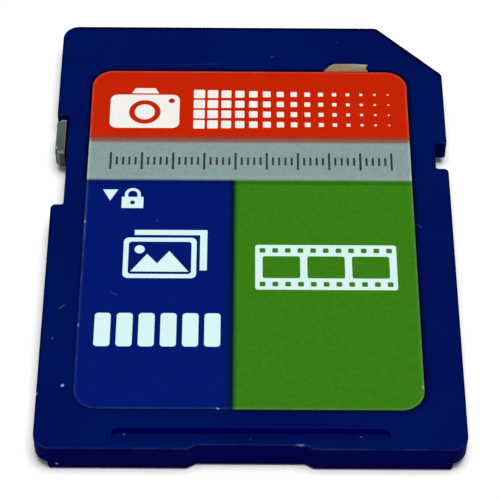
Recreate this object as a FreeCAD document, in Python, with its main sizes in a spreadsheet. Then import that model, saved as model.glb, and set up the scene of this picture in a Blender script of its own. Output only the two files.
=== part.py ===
# Full-size flash memory card, lying on its contact face with the label up.
# X runs across the card, Y towards the contact end, Z up through the thickness, all in millimetres.
# The origin is the centre of the card's outline on the plane that it rests on.
import FreeCAD, Part
import os
import Sketcher
from FreeCAD import Vector

SNAP = 1e-4  # how near a point lies to a place to count as on it
OVERSHOOT = 1.0  # how far a cut runs past an open edge

doc = FreeCAD.newDocument("memory_card")
sheet = doc.addObject("Spreadsheet::Sheet", "Sizes")

# The driving dimensions: alias, size in millimetres or a count, and what it measures.
DRIVING = [
    ("card_width", 24.0, "overall width"),
    ("card_length", 32.0, "overall length"),
    ("card_thickness", 2.1, "overall thickness"),
    ("rail_width", 0.75, "width of the guide rail along each long side"),
    ("rail_height", 0.7, "height of the rails' underside above the contact face"),
    ("corner_chamfer", 4.0, "length of the keyed corner along each edge"),
    ("corner_radius", 1.0, "plan radius of the three other corners"),
    ("key_radius", 0.5, "plan radius at both ends of the keyed corner"),
    ("core_radius", 0.2, "plan radius of the thick core's own corners"),
    ("face_round", 0.1, "radius along the label face's outer edge"),
    ("base_bevel", 0.15, "bevel along the contact face's outer edge"),
    ("split_height", 1.2, "height of the plane where the two covers meet"),
    ("face_wall", 0.35, "thickness of the label face"),
    ("floor_wall", 0.3, "thickness of the contact face"),
    ("side_wall", 0.55, "wall between the core's side and the hollow"),
    ("leading_wall", 0.9, "wall at the contact end and along the keyed corner"),
    ("trailing_wall", 2.3, "wall at the trailing end"),
    ("lock_notch_start", 7.6, "contact end to the lock notch"),
    ("lock_notch_length", 7.1, "length of the lock notch"),
    ("latch_notch_start", 9.72, "contact end to the latch notch"),
    ("latch_notch_length", 2.03, "length of the latch notch"),
    ("notch_near_radius", 0.3, "plan radius of a notch's outer corner towards the trailing end"),
    ("notch_far_radius", 0.12, "plan radius of a notch's outer corner towards the contact end"),
    ("notch_inner_radius", 0.15, "plan radius of a notch's inner corners"),
    ("gate_mouth", 7.0, "width of the trailing recess at the edge"),
    ("gate_floor", 6.1, "width of the trailing recess at its floor"),
    ("gate_depth", 0.28, "depth of the trailing recess"),
    ("gate_radius", 0.4, "plan radius of the trailing recess's corners"),
    ("groove_width", 15.4, "width of the fingernail groove"),
    ("groove_setback", 1.36, "trailing edge to the groove's step"),
    ("groove_run", 0.84, "length of the groove's ramp"),
    ("groove_depth", 0.48, "depth of the groove's step"),
    ("groove_radius", 0.42, "plan radius of the groove's two corners"),
    ("label_left_margin", 2.08, "left side of the card to the label"),
    ("label_right_margin", 2.28, "right side of the card to the label"),
    ("label_setback", 3.87, "contact end to the label"),
    ("label_tail", 2.63, "trailing end to the label"),
    ("label_radius", 1.3, "corner radius of the label"),
    ("label_thickness", 0.1, "thickness of the label"),
    ("label_recess_depth", 0.12, "depth of the recess that holds the label"),
    ("label_clearance", 0.1, "gap between the label and its recess"),
    ("residue_from_left", 16.55, "left side of the card to the sticker residue"),
    ("residue_width", 2.8, "width of the sticker residue"),
    ("residue_reach", 0.66, "how far the residue stands out past the label"),
    ("residue_thickness", 0.05, "thickness of the residue"),
    ("slider_length", 2.8, "length of the lock slider's finger piece"),
    ("slider_sink", 0.13, "label face to the top of the finger piece"),
    ("slider_lift", 0.05, "rails' underside to the bottom of the finger piece"),
    ("slider_end_gap", 0.25, "gap between the finger piece and the notch's end"),
    ("slider_bevel", 0.28, "bevel on the finger piece's outer corners"),
    ("slider_round", 0.12, "radius along the finger piece's upper edge"),
    ("slider_clearance", 0.06, "gap between the slider and what guides it"),
    ("finger_gap", 0.14, "gap between the finger piece and the notch's wall"),
    ("neck_length", 1.8, "length of the neck that passes through the wall"),
    ("neck_height", 0.4, "height of the neck"),
    ("foot_length", 2.4, "length of the foot that holds the slider in"),
    ("foot_width", 0.4, "width of the foot"),
    ("foot_clearance", 0.12, "gap above and below the foot"),
    ("ridge_width", 0.15, "width of a weld ridge"),
    ("ridge_height", 0.16, "height of a weld ridge"),
    ("ridge_clearance", 0.04, "gap between a weld ridge and its groove"),
    ("ridge_margin", 2.0, "card corner or slot to the end of a weld ridge"),
    ("board_thickness", 0.35, "thickness of the circuit board"),
    ("board_clearance", 0.12, "gap round the circuit board"),
    ("board_radius", 0.4, "corner radius of the circuit board"),
    ("ledge_width", 0.8, "width of the ledge that the board rests on"),
    ("rib_width", 0.7, "width of the ribs under the board"),
    ("well_margin", 0.95, "contact windows to the wells under the board"),
    ("post_side", 0.9, "side of a post that holds the board down"),
    ("post_margin", 0.35, "hollow's wall to a hold-down post"),
    ("post_clearance", 0.04, "gap between a post and the board"),
    ("pad_row_right", 0.7, "hollow's right wall to the middle of pad nine"),
    ("pad_row_left", 1.575, "hollow's left wall to the middle of pad eight"),
    ("pad_seven_step", 2.425, "pad six to pad seven"),
    ("pad_eight_step", 1.7, "pad seven to pad eight"),
    ("pad_width", 1.5, "width of a contact pad"),
    ("pad_side_margin", 0.125, "contact pad to the side of its window"),
    ("narrow_pad_width", 1.0, "width of pads seven to nine"),
    ("pad_edge_margin", 0.28, "board's leading edge to a contact pad"),
    ("pad_length", 4.3, "length of contact pads one to eight"),
    ("pad_nine_margin", 0.55, "board's keyed corner to pad nine"),
    ("pad_nine_length", 3.5, "length of pad nine"),
    ("pad_end_margin", 0.35, "contact pad to the end of its window"),
    ("pad_thickness", 0.035, "thickness of a contact pad"),
    ("controller_side", 7.0, "side of the controller chip"),
    ("controller_headroom", 0.15, "controller chip to the label face's inside"),
    ("controller_x", 1.2, "middle of the controller across the card"),
    ("controller_gap", 1.6, "flash chip to the controller chip"),
    ("terminals_per_side", 12, "terminals on each side of the controller"),
    ("terminal_pitch", 0.5, "pitch of the controller's terminals"),
    ("terminal_width", 0.24, "width of a terminal"),
    ("terminal_length", 0.5, "length of a terminal"),
    ("terminal_reach", 0.12, "how far a terminal shows past the body"),
    ("terminal_height", 0.05, "height of a terminal"),
    ("flash_length", 15.4, "length of the flash chip's body"),
    ("flash_width", 12.0, "width of the flash chip's body"),
    ("flash_headroom", 0.13, "flash chip to the label face's inside"),
    ("flash_standoff", 0.05, "board to the flash chip's body"),
    ("flash_margin", 0.9, "hollow's trailing wall to the flash chip"),
    ("flash_leads_per_side", 24, "leads on each side of the flash chip"),
    ("lead_pitch", 0.48, "pitch of the flash chip's leads"),
    ("lead_width", 0.2, "width of a lead"),
    ("lead_thickness", 0.1, "thickness of a lead"),
    ("lead_shoulder", 0.25, "body to the bend of a lead"),
    ("lead_reach", 0.8, "body to the tip of a lead"),
    ("chip_bevel", 0.08, "bevel along a chip's upper edge"),
    ("dimple_radius", 0.4, "radius of the mark at a chip's first lead"),
    ("dimple_depth", 0.05, "depth of that mark"),
    ("dimple_margin", 0.9, "chip's sides to the middle of that mark"),
    ("passive_length", 1.0, "length of a chip resistor or capacitor"),
    ("passive_width", 0.5, "width of a chip resistor or capacitor"),
    ("resistor_height", 0.35, "height of a chip resistor"),
    ("capacitor_height", 0.4, "height of a chip capacitor"),
    ("end_cap_length", 0.22, "length of a metal end cap"),
    ("end_cap_proud", 0.015, "how far an end cap stands proud of the body"),
    ("resistor_pitch", 2.0, "pitch of the resistors' row"),
    ("resistor_gap", 1.6, "controller to the resistors' row"),
    ("capacitor_pitch", 2.2, "pitch of the capacitors' columns"),
    ("capacitor_gap", 1.5, "controller to the capacitors' columns"),
]
RESISTOR_COUNT = 5
CAPACITORS_PER_COLUMN = 3

for row, (alias, size, meaning) in enumerate(DRIVING, 1):
    sheet.set(f"A{row}", alias)
    sheet.set(f"B{row}", str(size))
    sheet.setAlias(f"B{row}", alias)
    sheet.set(f"C{row}", meaning)
doc.recompute()


def number(expression):
    return float(sheet.evalExpression(expression))


# Places that several pieces share, worked out from the sheet.
HALF_WIDTH = "(Sizes.card_width / 2)"
HALF_LENGTH = "(Sizes.card_length / 2)"
CORE_HALF = f"({HALF_WIDTH} - Sizes.rail_width)"
HOLLOW_HALF = f"({CORE_HALF} - Sizes.side_wall)"
HOLLOW_LEADING = f"({HALF_LENGTH} - Sizes.leading_wall)"
HOLLOW_TRAILING = f"(Sizes.trailing_wall - {HALF_LENGTH})"
KEY_SUM = f"({HALF_WIDTH} + {HALF_LENGTH} - Sizes.corner_chamfer)"  # X plus Y along the keyed corner
CEILING = "(Sizes.card_thickness - Sizes.face_wall)"
LOCK_FAR = f"({HALF_LENGTH} - Sizes.lock_notch_start)"
LOCK_NEAR = f"({LOCK_FAR} - Sizes.lock_notch_length)"
LATCH_FAR = f"({HALF_LENGTH} - Sizes.latch_notch_start)"
LATCH_NEAR = f"({LATCH_FAR} - Sizes.latch_notch_length)"
GATE_FLOOR_Y = f"(Sizes.gate_depth - {HALF_LENGTH})"
LABEL_FAR = f"({HALF_LENGTH} - Sizes.label_setback)"
LABEL_NEAR = f"(Sizes.label_tail - {HALF_LENGTH})"
LABEL_LEFT = f"(Sizes.label_left_margin - {HALF_WIDTH})"
LABEL_RIGHT = f"({HALF_WIDTH} - Sizes.label_right_margin)"
SLIDER_MIDDLE = f"({LOCK_FAR} - Sizes.slider_end_gap - Sizes.slider_length / 2)"
SLIDER_TRAVEL = "(Sizes.lock_notch_length - Sizes.slider_length - 2 * Sizes.slider_end_gap)"
SLOT_HALF_HEIGHT = "(Sizes.neck_height / 2 + Sizes.slider_clearance)"
SLOT_FAR = f"({SLIDER_MIDDLE} + Sizes.neck_length / 2 + Sizes.slider_clearance)"
SLOT_NEAR = f"({SLIDER_MIDDLE} - {SLIDER_TRAVEL} - Sizes.neck_length / 2 - Sizes.slider_clearance)"
FOOT_FAR = f"({SLIDER_MIDDLE} + Sizes.foot_length / 2)"
FOOT_NEAR_LOCKED = f"({SLIDER_MIDDLE} - {SLIDER_TRAVEL} - Sizes.foot_length / 2)"
FOOT_INNER = f"({HOLLOW_HALF} - Sizes.slider_clearance - Sizes.foot_width)"
BOARD_BOTTOM = "Sizes.rail_height"
BOARD_TOP = "(Sizes.rail_height + Sizes.board_thickness)"
BOARD_HALF = f"({HOLLOW_HALF} - Sizes.board_clearance)"
BOARD_LEADING = f"({HOLLOW_LEADING} - Sizes.board_clearance)"
BOARD_KEY_INSET = "(Sizes.leading_wall + Sizes.board_clearance)"
FLASH_Y = f"({HOLLOW_TRAILING} + Sizes.flash_margin + Sizes.flash_width / 2)"
CONTROLLER_Y = f"({FLASH_Y} + (Sizes.flash_width + Sizes.controller_side) / 2 + Sizes.controller_gap)"


# Small tools for sketches and features.
def new_sketch(body, name, plane_role, offset):
    sketch = body.newObject("Sketcher::SketchObject", name)
    plane = next(f for f in body.Origin.OriginFeatures if f.Role == plane_role)
    sketch.AttachmentSupport = (plane, [""])
    sketch.MapMode = "FlatFace"
    sketch.setExpression("AttachmentOffset.Base.z", offset)
    return sketch


def bind(sketch, constraint, tag, expression):
    sketch.renameConstraint(sketch.addConstraint(constraint), tag)
    sketch.setExpression("Constraints." + tag, expression)


def bind_point(sketch, line, point, place, expressions):
    for axis, value, expression in zip("XY", place, expressions):
        constraint = Sketcher.Constraint("Distance" + axis, -1, 1, line, point, value)
        bind(sketch, constraint, f"{axis.lower()}{line}", expression)


def profile(body, name, plane_role, offset, corners):
    sketch = new_sketch(body, name, plane_role, offset)
    places = [(number(across), number(along)) for across, along in corners]
    for here, there in zip(places, places[1:] + places[:1]):
        sketch.addGeometry(Part.LineSegment(Vector(*here, 0), Vector(*there, 0)), False)
    for index, corner in enumerate(corners):
        following = (index + 1) % len(corners)
        sketch.addConstraint(Sketcher.Constraint("Coincident", index, 2, following, 1))
        bind_point(sketch, index, 1, places[index], corner)
    return sketch


def disc(body, name, offset, across, along, radius):
    sketch = new_sketch(body, name, "XY_Plane", offset)
    middle = (number(across), number(along))
    sketch.addGeometry(Part.Circle(Vector(*middle, 0), Vector(0, 0, 1), number(radius)), False)
    bind_point(sketch, 0, 3, middle, (across, along))
    bind(sketch, Sketcher.Constraint("Radius", 0, number(radius)), "radius", radius)
    return sketch


def rectangle(left, right, near, far):
    return [(left, near), (right, near), (right, far), (left, far)]


def pad(body, name, sketch, length, downward=False):
    feature = body.newObject("PartDesign::Pad", name)
    feature.Profile = sketch
    feature.Reversed = downward
    feature.setExpression("Length", length)
    return feature


def pocket(body, name, sketch, depth, upward=False):
    feature = body.newObject("PartDesign::Pocket", name)
    feature.Profile = sketch
    feature.Reversed = upward
    feature.setExpression("Length", depth)
    return feature


def dress_edges(body, kind, name, size_property, size, chosen):
    doc.recompute()
    base = body.Tip
    names = [f"Edge{i}" for i, edge in enumerate(base.Shape.Edges, 1) if chosen(edge)]
    if not names:
        raise ValueError(f"{body.Label}: no edge found for {name}")
    feature = body.newObject("PartDesign::" + kind, name)
    feature.Base = (base, names)
    feature.setExpression(size_property, size)
    return feature


def round_edges(body, name, radius, chosen):
    return dress_edges(body, "Fillet", name, "Radius", radius, chosen)


def bevel_edges(body, name, size, chosen):
    return dress_edges(body, "Chamfer", name, "Size", size, chosen)


def upright_at(places):
    spots = [(number(across), number(along)) for across, along in places]

    def chosen(edge):
        box = edge.BoundBox
        if box.XLength > SNAP or box.YLength > SNAP:
            return False
        return any(abs(box.XMin - x) < SNAP and abs(box.YMin - y) < SNAP for x, y in spots)

    return chosen


def level_at(height):
    level = number(height)
    return lambda edge: abs(edge.BoundBox.ZMin - level) < SNAP and abs(edge.BoundBox.ZMax - level) < SNAP


def new_body(label):
    body = doc.addObject("PartDesign::Body", "Body_" + label)
    body.Label = label
    return body


# Outlines in plan. Each is a list of corners as pairs of expressions.
GATE_CORNERS = [
    ("-Sizes.gate_mouth / 2", f"-{HALF_LENGTH}"),
    ("-Sizes.gate_floor / 2", GATE_FLOOR_Y),
    ("Sizes.gate_floor / 2", GATE_FLOOR_Y),
    ("Sizes.gate_mouth / 2", f"-{HALF_LENGTH}"),
]
TRAILING_CORNERS = [(f"-{HALF_WIDTH}", f"-{HALF_LENGTH}"), (HALF_WIDTH, f"-{HALF_LENGTH}")]
KEY_CORNERS = [
    (HALF_WIDTH, f"{KEY_SUM} - {HALF_WIDTH}"),
    (f"{KEY_SUM} - {HALF_LENGTH}", HALF_LENGTH),
]
SQUARE_CORNERS = TRAILING_CORNERS + [(f"-{HALF_WIDTH}", HALF_LENGTH)]
LATCH_OUTER = [(HALF_WIDTH, LATCH_NEAR), (HALF_WIDTH, LATCH_FAR)]
LATCH_INNER = [(CORE_HALF, LATCH_NEAR), (CORE_HALF, LATCH_FAR)]
LOCK_OUTER = [(f"-{HALF_WIDTH}", LOCK_FAR), (f"-{HALF_WIDTH}", LOCK_NEAR)]
LOCK_INNER = [(f"-{CORE_HALF}", LOCK_FAR), (f"-{CORE_HALF}", LOCK_NEAR)]
CARD_OUTLINE = [
    TRAILING_CORNERS[0],
    *GATE_CORNERS,
    TRAILING_CORNERS[1],
    LATCH_OUTER[0],
    *LATCH_INNER,
    LATCH_OUTER[1],
    *KEY_CORNERS,
    SQUARE_CORNERS[2],
    LOCK_OUTER[0],
    *LOCK_INNER,
    LOCK_OUTER[1],
]


def keyed_outline(half, trailing, leading, key_inset, left_step=()):
    key = f"({KEY_SUM} - sqrt(2) * {key_inset})"
    return [
        (f"-{half}", trailing),
        (half, trailing),
        (half, f"{key} - {half}"),
        (f"{key} - {leading}", leading),
        (f"-{half}", leading),
        *left_step,
    ]


HOLLOW_OUTLINE = keyed_outline(HOLLOW_HALF, HOLLOW_TRAILING, HOLLOW_LEADING, "Sizes.leading_wall")


# Weld ridges under the front cover's rim, as rectangles in plan. The rear cover has a groove for each.
RIM_MIDDLE = f"({HOLLOW_HALF} + Sizes.side_wall / 2)"
RIDGE_HALF = "(Sizes.ridge_width / 2)"
RIDGE_NEAR = f"(Sizes.ridge_margin - {HALF_LENGTH})"
RIDGE_RIGHT_FAR = f"({KEY_SUM} - {HALF_WIDTH} - Sizes.ridge_margin)"
LEADING_RIM = f"({HALF_LENGTH} - Sizes.leading_wall / 2)"
TRAILING_RIM = f"(Sizes.trailing_wall / 2 - {HALF_LENGTH} + Sizes.groove_setback / 2)"


def along_side(middle, near, far):
    return (f"{middle} - {RIDGE_HALF}", f"{middle} + {RIDGE_HALF}", near, far)


def along_end(middle, left, right):
    return (left, right, f"{middle} - {RIDGE_HALF}", f"{middle} + {RIDGE_HALF}")


RIDGES = {
    "left_far": along_side(f"-{RIM_MIDDLE}", f"{LOCK_FAR} + Sizes.ridge_margin", f"-{RIDGE_NEAR}"),
    "left_near": along_side(f"-{RIM_MIDDLE}", RIDGE_NEAR, f"{LOCK_NEAR} - Sizes.ridge_margin"),
    "right": along_side(RIM_MIDDLE, RIDGE_NEAR, RIDGE_RIGHT_FAR),
    "leading": along_end(
        LEADING_RIM,
        f"Sizes.ridge_margin - {HALF_WIDTH}",
        f"{KEY_SUM} - {HALF_LENGTH} - Sizes.ridge_margin",
    ),
    "trailing": along_end(
        TRAILING_RIM, f"Sizes.ridge_margin - {HOLLOW_HALF}", f"{HOLLOW_HALF} - Sizes.ridge_margin"
    ),
}


def shape_rim(body):
    # The plan radii that both covers share.
    round_edges(body, "corners", "Sizes.corner_radius", upright_at(SQUARE_CORNERS))
    round_edges(body, "key_ends", "Sizes.key_radius", upright_at(KEY_CORNERS))
    round_edges(body, "gate_corners", "Sizes.gate_radius", upright_at(GATE_CORNERS))
    near, far = [LATCH_OUTER[0], LOCK_OUTER[1]], [LATCH_OUTER[1], LOCK_OUTER[0]]
    round_edges(body, "notch_near_mouths", "Sizes.notch_near_radius", upright_at(near))
    round_edges(body, "notch_far_mouths", "Sizes.notch_far_radius", upright_at(far))
    round_edges(body, "notch_roots", "Sizes.notch_inner_radius", upright_at(LATCH_INNER + LOCK_INNER))


# Each cover has half of the slot that the lock slider's neck runs in.
SLOT_OUTLINE = rectangle(
    f"-{CORE_HALF} - {OVERSHOOT}", f"-{HOLLOW_HALF} + Sizes.slider_clearance", SLOT_NEAR, SLOT_FAR
)


# Front cover: the label face and the upper half of the rails.
def build_front_cover():
    body = new_body("front_cover")
    outline = profile(body, "cover_outline", "XY_Plane", "Sizes.split_height", CARD_OUTLINE)
    pad(body, "cover_blank", outline, "Sizes.card_thickness - Sizes.split_height")
    shape_rim(body)
    round_edges(body, "face_edge", "Sizes.face_round", level_at("Sizes.card_thickness"))

    hollow = profile(body, "hollow_outline", "XY_Plane", "Sizes.split_height", HOLLOW_OUTLINE)
    pocket(body, "hollow", hollow, f"{CEILING} - Sizes.split_height", upward=True)
    for name, ridge in RIDGES.items():
        corners = rectangle(*ridge)
        sketch = profile(body, f"ridge_{name}_outline", "XY_Plane", "Sizes.split_height", corners)
        pad(body, f"ridge_{name}", sketch, "Sizes.ridge_height", downward=True)
    add_hold_down_posts(body)

    sketch = profile(body, "slot_outline", "XY_Plane", "Sizes.split_height", SLOT_OUTLINE)
    pocket(body, "slot", sketch, SLOT_HALF_HEIGHT, upward=True)

    add_label_recess(body)
    add_fingernail_groove(body)
    return body


def add_hold_down_posts(body):
    # A post in each square corner of the hollow presses the circuit board onto its ledge.
    inner = f"({HOLLOW_HALF} - Sizes.post_margin)"
    near = f"({HOLLOW_TRAILING} + Sizes.post_margin)"
    far = f"({HOLLOW_LEADING} - Sizes.post_margin)"
    places = {
        "near_left": (f"-{inner}", f"-{inner} + Sizes.post_side", near, f"{near} + Sizes.post_side"),
        "near_right": (f"{inner} - Sizes.post_side", inner, near, f"{near} + Sizes.post_side"),
        "far_left": (f"-{inner}", f"-{inner} + Sizes.post_side", f"{far} - Sizes.post_side", far),
    }
    height = f"{CEILING} - {BOARD_TOP} - Sizes.post_clearance"
    for name, place in places.items():
        sketch = profile(body, f"post_{name}_outline", "XY_Plane", CEILING, rectangle(*place))
        pad(body, f"post_{name}", sketch, height, downward=True)


def add_label_recess(body):
    gap = "Sizes.label_clearance"
    sides = (f"{LABEL_LEFT} - {gap}", f"{LABEL_RIGHT} + {gap}")
    corners = rectangle(*sides, f"{LABEL_NEAR} - {gap}", f"{LABEL_FAR} + {gap}")
    sketch = profile(body, "recess_outline", "XY_Plane", "Sizes.card_thickness", corners)
    pocket(body, "label_recess", sketch, "Sizes.label_recess_depth")
    round_edges(body, "recess_corners", "Sizes.label_radius + Sizes.label_clearance", upright_at(corners))


def add_fingernail_groove(body):
    # A step across the face, with a ramp that runs out towards the trailing edge.
    step = f"(Sizes.groove_setback - {HALF_LENGTH})"
    section = [
        (step, "Sizes.card_thickness"),
        (step, "Sizes.card_thickness - Sizes.groove_depth"),
        (f"{step} - Sizes.groove_run", "Sizes.card_thickness"),
    ]
    sketch = profile(body, "groove_section", "YZ_Plane", "Sizes.groove_width / 2", section)
    pocket(body, "groove", sketch, "Sizes.groove_width")
    ends = [("-Sizes.groove_width / 2", step), ("Sizes.groove_width / 2", step)]
    round_edges(body, "groove_corners", "Sizes.groove_radius", upright_at(ends))


# Contact pads: nine in a row across the hollow, the ninth set back beside the keyed corner.
def pad_middles():
    row = f"(2 * {HOLLOW_HALF} - Sizes.pad_row_left - Sizes.pad_row_right)"
    pitch = f"(({row} - Sizes.pad_seven_step - Sizes.pad_eight_step) / 6)"
    nine = f"({HOLLOW_HALF} - Sizes.pad_row_right)"
    middles = {n: f"({nine} - {n} * {pitch})" for n in range(1, 7)}
    middles[7] = f"({middles[6]} - Sizes.pad_seven_step)"
    middles[8] = f"({middles[7]} - Sizes.pad_eight_step)"
    middles[9] = nine
    return middles


PAD_MIDDLES = pad_middles()
BOARD_KEY = f"({KEY_SUM} - sqrt(2) * {BOARD_KEY_INSET})"
NINE_RIGHT = f"({PAD_MIDDLES[9]} + Sizes.narrow_pad_width / 2)"


def pad_extent(n):
    # Width, far end along Y and length of one pad.
    width = "Sizes.narrow_pad_width" if n > 6 else "Sizes.pad_width"
    if n == 9:
        return width, f"({BOARD_KEY} - {NINE_RIGHT} - Sizes.pad_nine_margin)", "Sizes.pad_nine_length"
    return width, f"({BOARD_LEADING} - Sizes.pad_edge_margin)", "Sizes.pad_length"


def window_near(n):
    _, far, length = pad_extent(n)
    return f"({far} - {length} - Sizes.pad_end_margin)"


# Rear cover: the contact face with its windows, the core and the lower half of the rails.
def build_rear_cover():
    body = new_body("rear_cover")
    outline = profile(body, "cover_outline", "XY_Plane", "0", CARD_OUTLINE)
    pad(body, "cover_blank", outline, "Sizes.split_height")
    shape_rim(body)
    cut_rail_steps(body)
    bevel_edges(body, "face_edge", "Sizes.base_bevel", level_at("0"))

    hollow = profile(body, "hollow_outline", "XY_Plane", "Sizes.split_height", HOLLOW_OUTLINE)
    pocket(body, "hollow", hollow, "Sizes.split_height - Sizes.rail_height")
    add_wells(body)
    add_windows(body)
    for name, (left, right, near, far) in RIDGES.items():
        gap = "Sizes.ridge_clearance"
        corners = rectangle(f"{left} - {gap}", f"{right} + {gap}", f"{near} - {gap}", f"{far} + {gap}")
        sketch = profile(body, f"weld_groove_{name}_outline", "XY_Plane", "Sizes.split_height", corners)
        pocket(body, f"weld_groove_{name}", sketch, "Sizes.ridge_height + Sizes.ridge_clearance")

    sketch = profile(body, "slot_outline", "XY_Plane", "Sizes.split_height", SLOT_OUTLINE)
    pocket(body, "slot", sketch, SLOT_HALF_HEIGHT)
    return body


def cut_rail_steps(body):
    # The card is thinner along both long sides, which leaves the guide rails.
    reach = f"({HALF_LENGTH} + {OVERSHOOT})"
    outer = f"({HALF_WIDTH} + {OVERSHOOT})"
    steps = {"left": (f"-{outer}", f"-{CORE_HALF}"), "right": (CORE_HALF, outer)}
    for name, (low, high) in steps.items():
        corners = rectangle(low, high, f"-{reach}", reach)
        sketch = profile(body, f"{name}_step_outline", "XY_Plane", "0", corners)
        pocket(body, f"{name}_step", sketch, "Sizes.rail_height", upward=True)
    # Where a step meets the round corner of the outline, the core has an upright edge.
    inset = "(Sizes.corner_radius - Sizes.rail_width)"
    corner_y = f"({HALF_LENGTH} - Sizes.corner_radius + sqrt(Sizes.corner_radius ^ 2 - {inset} ^ 2))"
    left, right = f"-{CORE_HALF}", CORE_HALF
    core_corners = [(left, f"-{corner_y}"), (right, f"-{corner_y}"), (left, corner_y)]
    round_edges(body, "core_corners", "Sizes.core_radius", upright_at(core_corners))


def add_wells(body):
    # Three wells lighten the floor under the board and leave two ribs that carry it.
    half = f"({HOLLOW_HALF} - Sizes.ledge_width)"
    well = f"((2 * {half} - 2 * Sizes.rib_width) / 3)"
    near = f"{HOLLOW_TRAILING} + Sizes.ledge_width"
    far = f"{window_near(9)} - Sizes.well_margin"
    for index in range(3):
        left = f"({index} * ({well} + Sizes.rib_width) - {half})"
        corners = rectangle(left, f"{left} + {well}", near, far)
        sketch = profile(body, f"well_{index + 1}_outline", "XY_Plane", "Sizes.rail_height", corners)
        pocket(body, f"well_{index + 1}", sketch, "Sizes.rail_height - Sizes.floor_wall")


def add_windows(body):
    # Each contact pad has a window of its own, open at the contact end to let a socket's spring slide in.
    for n, middle in PAD_MIDDLES.items():
        width, _, _ = pad_extent(n)
        half = f"({width} / 2 + Sizes.pad_side_margin)"
        far = f"{HALF_LENGTH} + {OVERSHOOT}"
        corners = rectangle(f"{middle} - {half}", f"{middle} + {half}", window_near(n), far)
        sketch = profile(body, f"window_{n}_outline", "XY_Plane", "0", corners)
        pocket(body, f"window_{n}", sketch, "Sizes.rail_height", upward=True)


# Lock slider: a finger piece in the notch, a neck through the wall and a foot that keeps it in.
def build_lock_slider():
    body = new_body("lock_slider")
    outer = f"-{HALF_WIDTH}"
    inner = f"(-{CORE_HALF} - Sizes.finger_gap)"
    far = f"({SLIDER_MIDDLE} + Sizes.slider_length / 2)"
    near = f"({SLIDER_MIDDLE} - Sizes.slider_length / 2)"
    bottom = "(Sizes.rail_height + Sizes.slider_lift)"
    top = "(Sizes.card_thickness - Sizes.slider_sink)"
    finger = [
        (f"{outer} + Sizes.slider_bevel", near),
        (inner, near),
        (inner, far),
        (f"{outer} + Sizes.slider_bevel", far),
        (outer, f"{far} - Sizes.slider_bevel"),
        (outer, f"{near} + Sizes.slider_bevel"),
    ]
    sketch = profile(body, "finger_outline", "XY_Plane", bottom, finger)
    pad(body, "finger_piece", sketch, f"{top} - {bottom}")
    round_edges(body, "finger_edge", "Sizes.slider_round", level_at(top))

    neck_bottom = "Sizes.split_height - Sizes.neck_height / 2"
    foot_outer = f"(-{HOLLOW_HALF} + Sizes.slider_clearance)"
    neck_near = f"{SLIDER_MIDDLE} - Sizes.neck_length / 2"
    neck = rectangle(inner, foot_outer, neck_near, f"{SLIDER_MIDDLE} + Sizes.neck_length / 2")
    sketch = profile(body, "neck_outline", "XY_Plane", neck_bottom, neck)
    pad(body, "neck", sketch, "Sizes.neck_height")
    foot = rectangle(foot_outer, f"-{FOOT_INNER}", f"{SLIDER_MIDDLE} - Sizes.foot_length / 2", FOOT_FAR)
    foot_bottom = f"({BOARD_BOTTOM} + Sizes.foot_clearance)"
    sketch = profile(body, "foot_outline", "XY_Plane", foot_bottom, foot)
    pad(body, "foot", sketch, f"{CEILING} - Sizes.foot_clearance - {foot_bottom}")
    return body


# Label and the torn residue of an older sticker beside it.
def build_front_label():
    body = new_body("front_label")
    corners = rectangle(LABEL_LEFT, LABEL_RIGHT, LABEL_NEAR, LABEL_FAR)
    base = "Sizes.card_thickness - Sizes.label_recess_depth"
    sketch = profile(body, "label_outline", "XY_Plane", base, corners)
    pad(body, "label_sheet", sketch, "Sizes.label_thickness")
    round_edges(body, "label_corners", "Sizes.label_radius", upright_at(corners))
    return body


def build_sticker_residue():
    body = new_body("sticker_residue")
    left = f"(Sizes.residue_from_left - {HALF_WIDTH})"
    near = LABEL_FAR
    torn = [(0, 0), (1, 0), (0.95, 0.45), (1, 0.9), (0.62, 1), (0.24, 0.97), (0.14, 0.7)]
    corners = [
        (f"{left} + {across} * Sizes.residue_width", f"{near} + {along} * Sizes.residue_reach")
        for across, along in torn
    ]
    sketch = profile(body, "residue_outline", "XY_Plane", "Sizes.card_thickness", corners)
    pad(body, "residue", sketch, "Sizes.residue_thickness")
    return body


# Circuit board with its contact pads underneath.
def build_circuit_board():
    body = new_body("circuit_board")
    step = f"-{FOOT_INNER} + Sizes.board_clearance"
    step_far = f"{FOOT_FAR} + Sizes.board_clearance"
    step_near = f"{FOOT_NEAR_LOCKED} - Sizes.board_clearance"
    edge = f"-{BOARD_HALF}"
    left_step = [(edge, step_far), (step, step_far), (step, step_near), (edge, step_near)]
    outline = keyed_outline(
        BOARD_HALF,
        f"({HOLLOW_TRAILING} + Sizes.board_clearance)",
        BOARD_LEADING,
        BOARD_KEY_INSET,
        left_step,
    )
    sketch = profile(body, "board_outline", "XY_Plane", BOARD_BOTTOM, outline)
    pad(body, "laminate", sketch, "Sizes.board_thickness")
    round_edges(body, "board_corners", "Sizes.board_radius", upright_at(outline[:5]))
    return body


def build_contact_pad(n):
    width, far, length = pad_extent(n)
    box = doc.addObject("Part::Box", f"Pad_{n}")
    box.Label = f"contact_pad_{n}"
    box.setExpression("Length", width)
    box.setExpression("Width", length)
    box.setExpression("Height", "Sizes.pad_thickness")
    box.setExpression("Placement.Base.x", f"{PAD_MIDDLES[n]} - {width} / 2")
    box.setExpression("Placement.Base.y", f"{far} - {length}")
    box.setExpression("Placement.Base.z", f"{BOARD_BOTTOM} - Sizes.pad_thickness")
    return box


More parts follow.
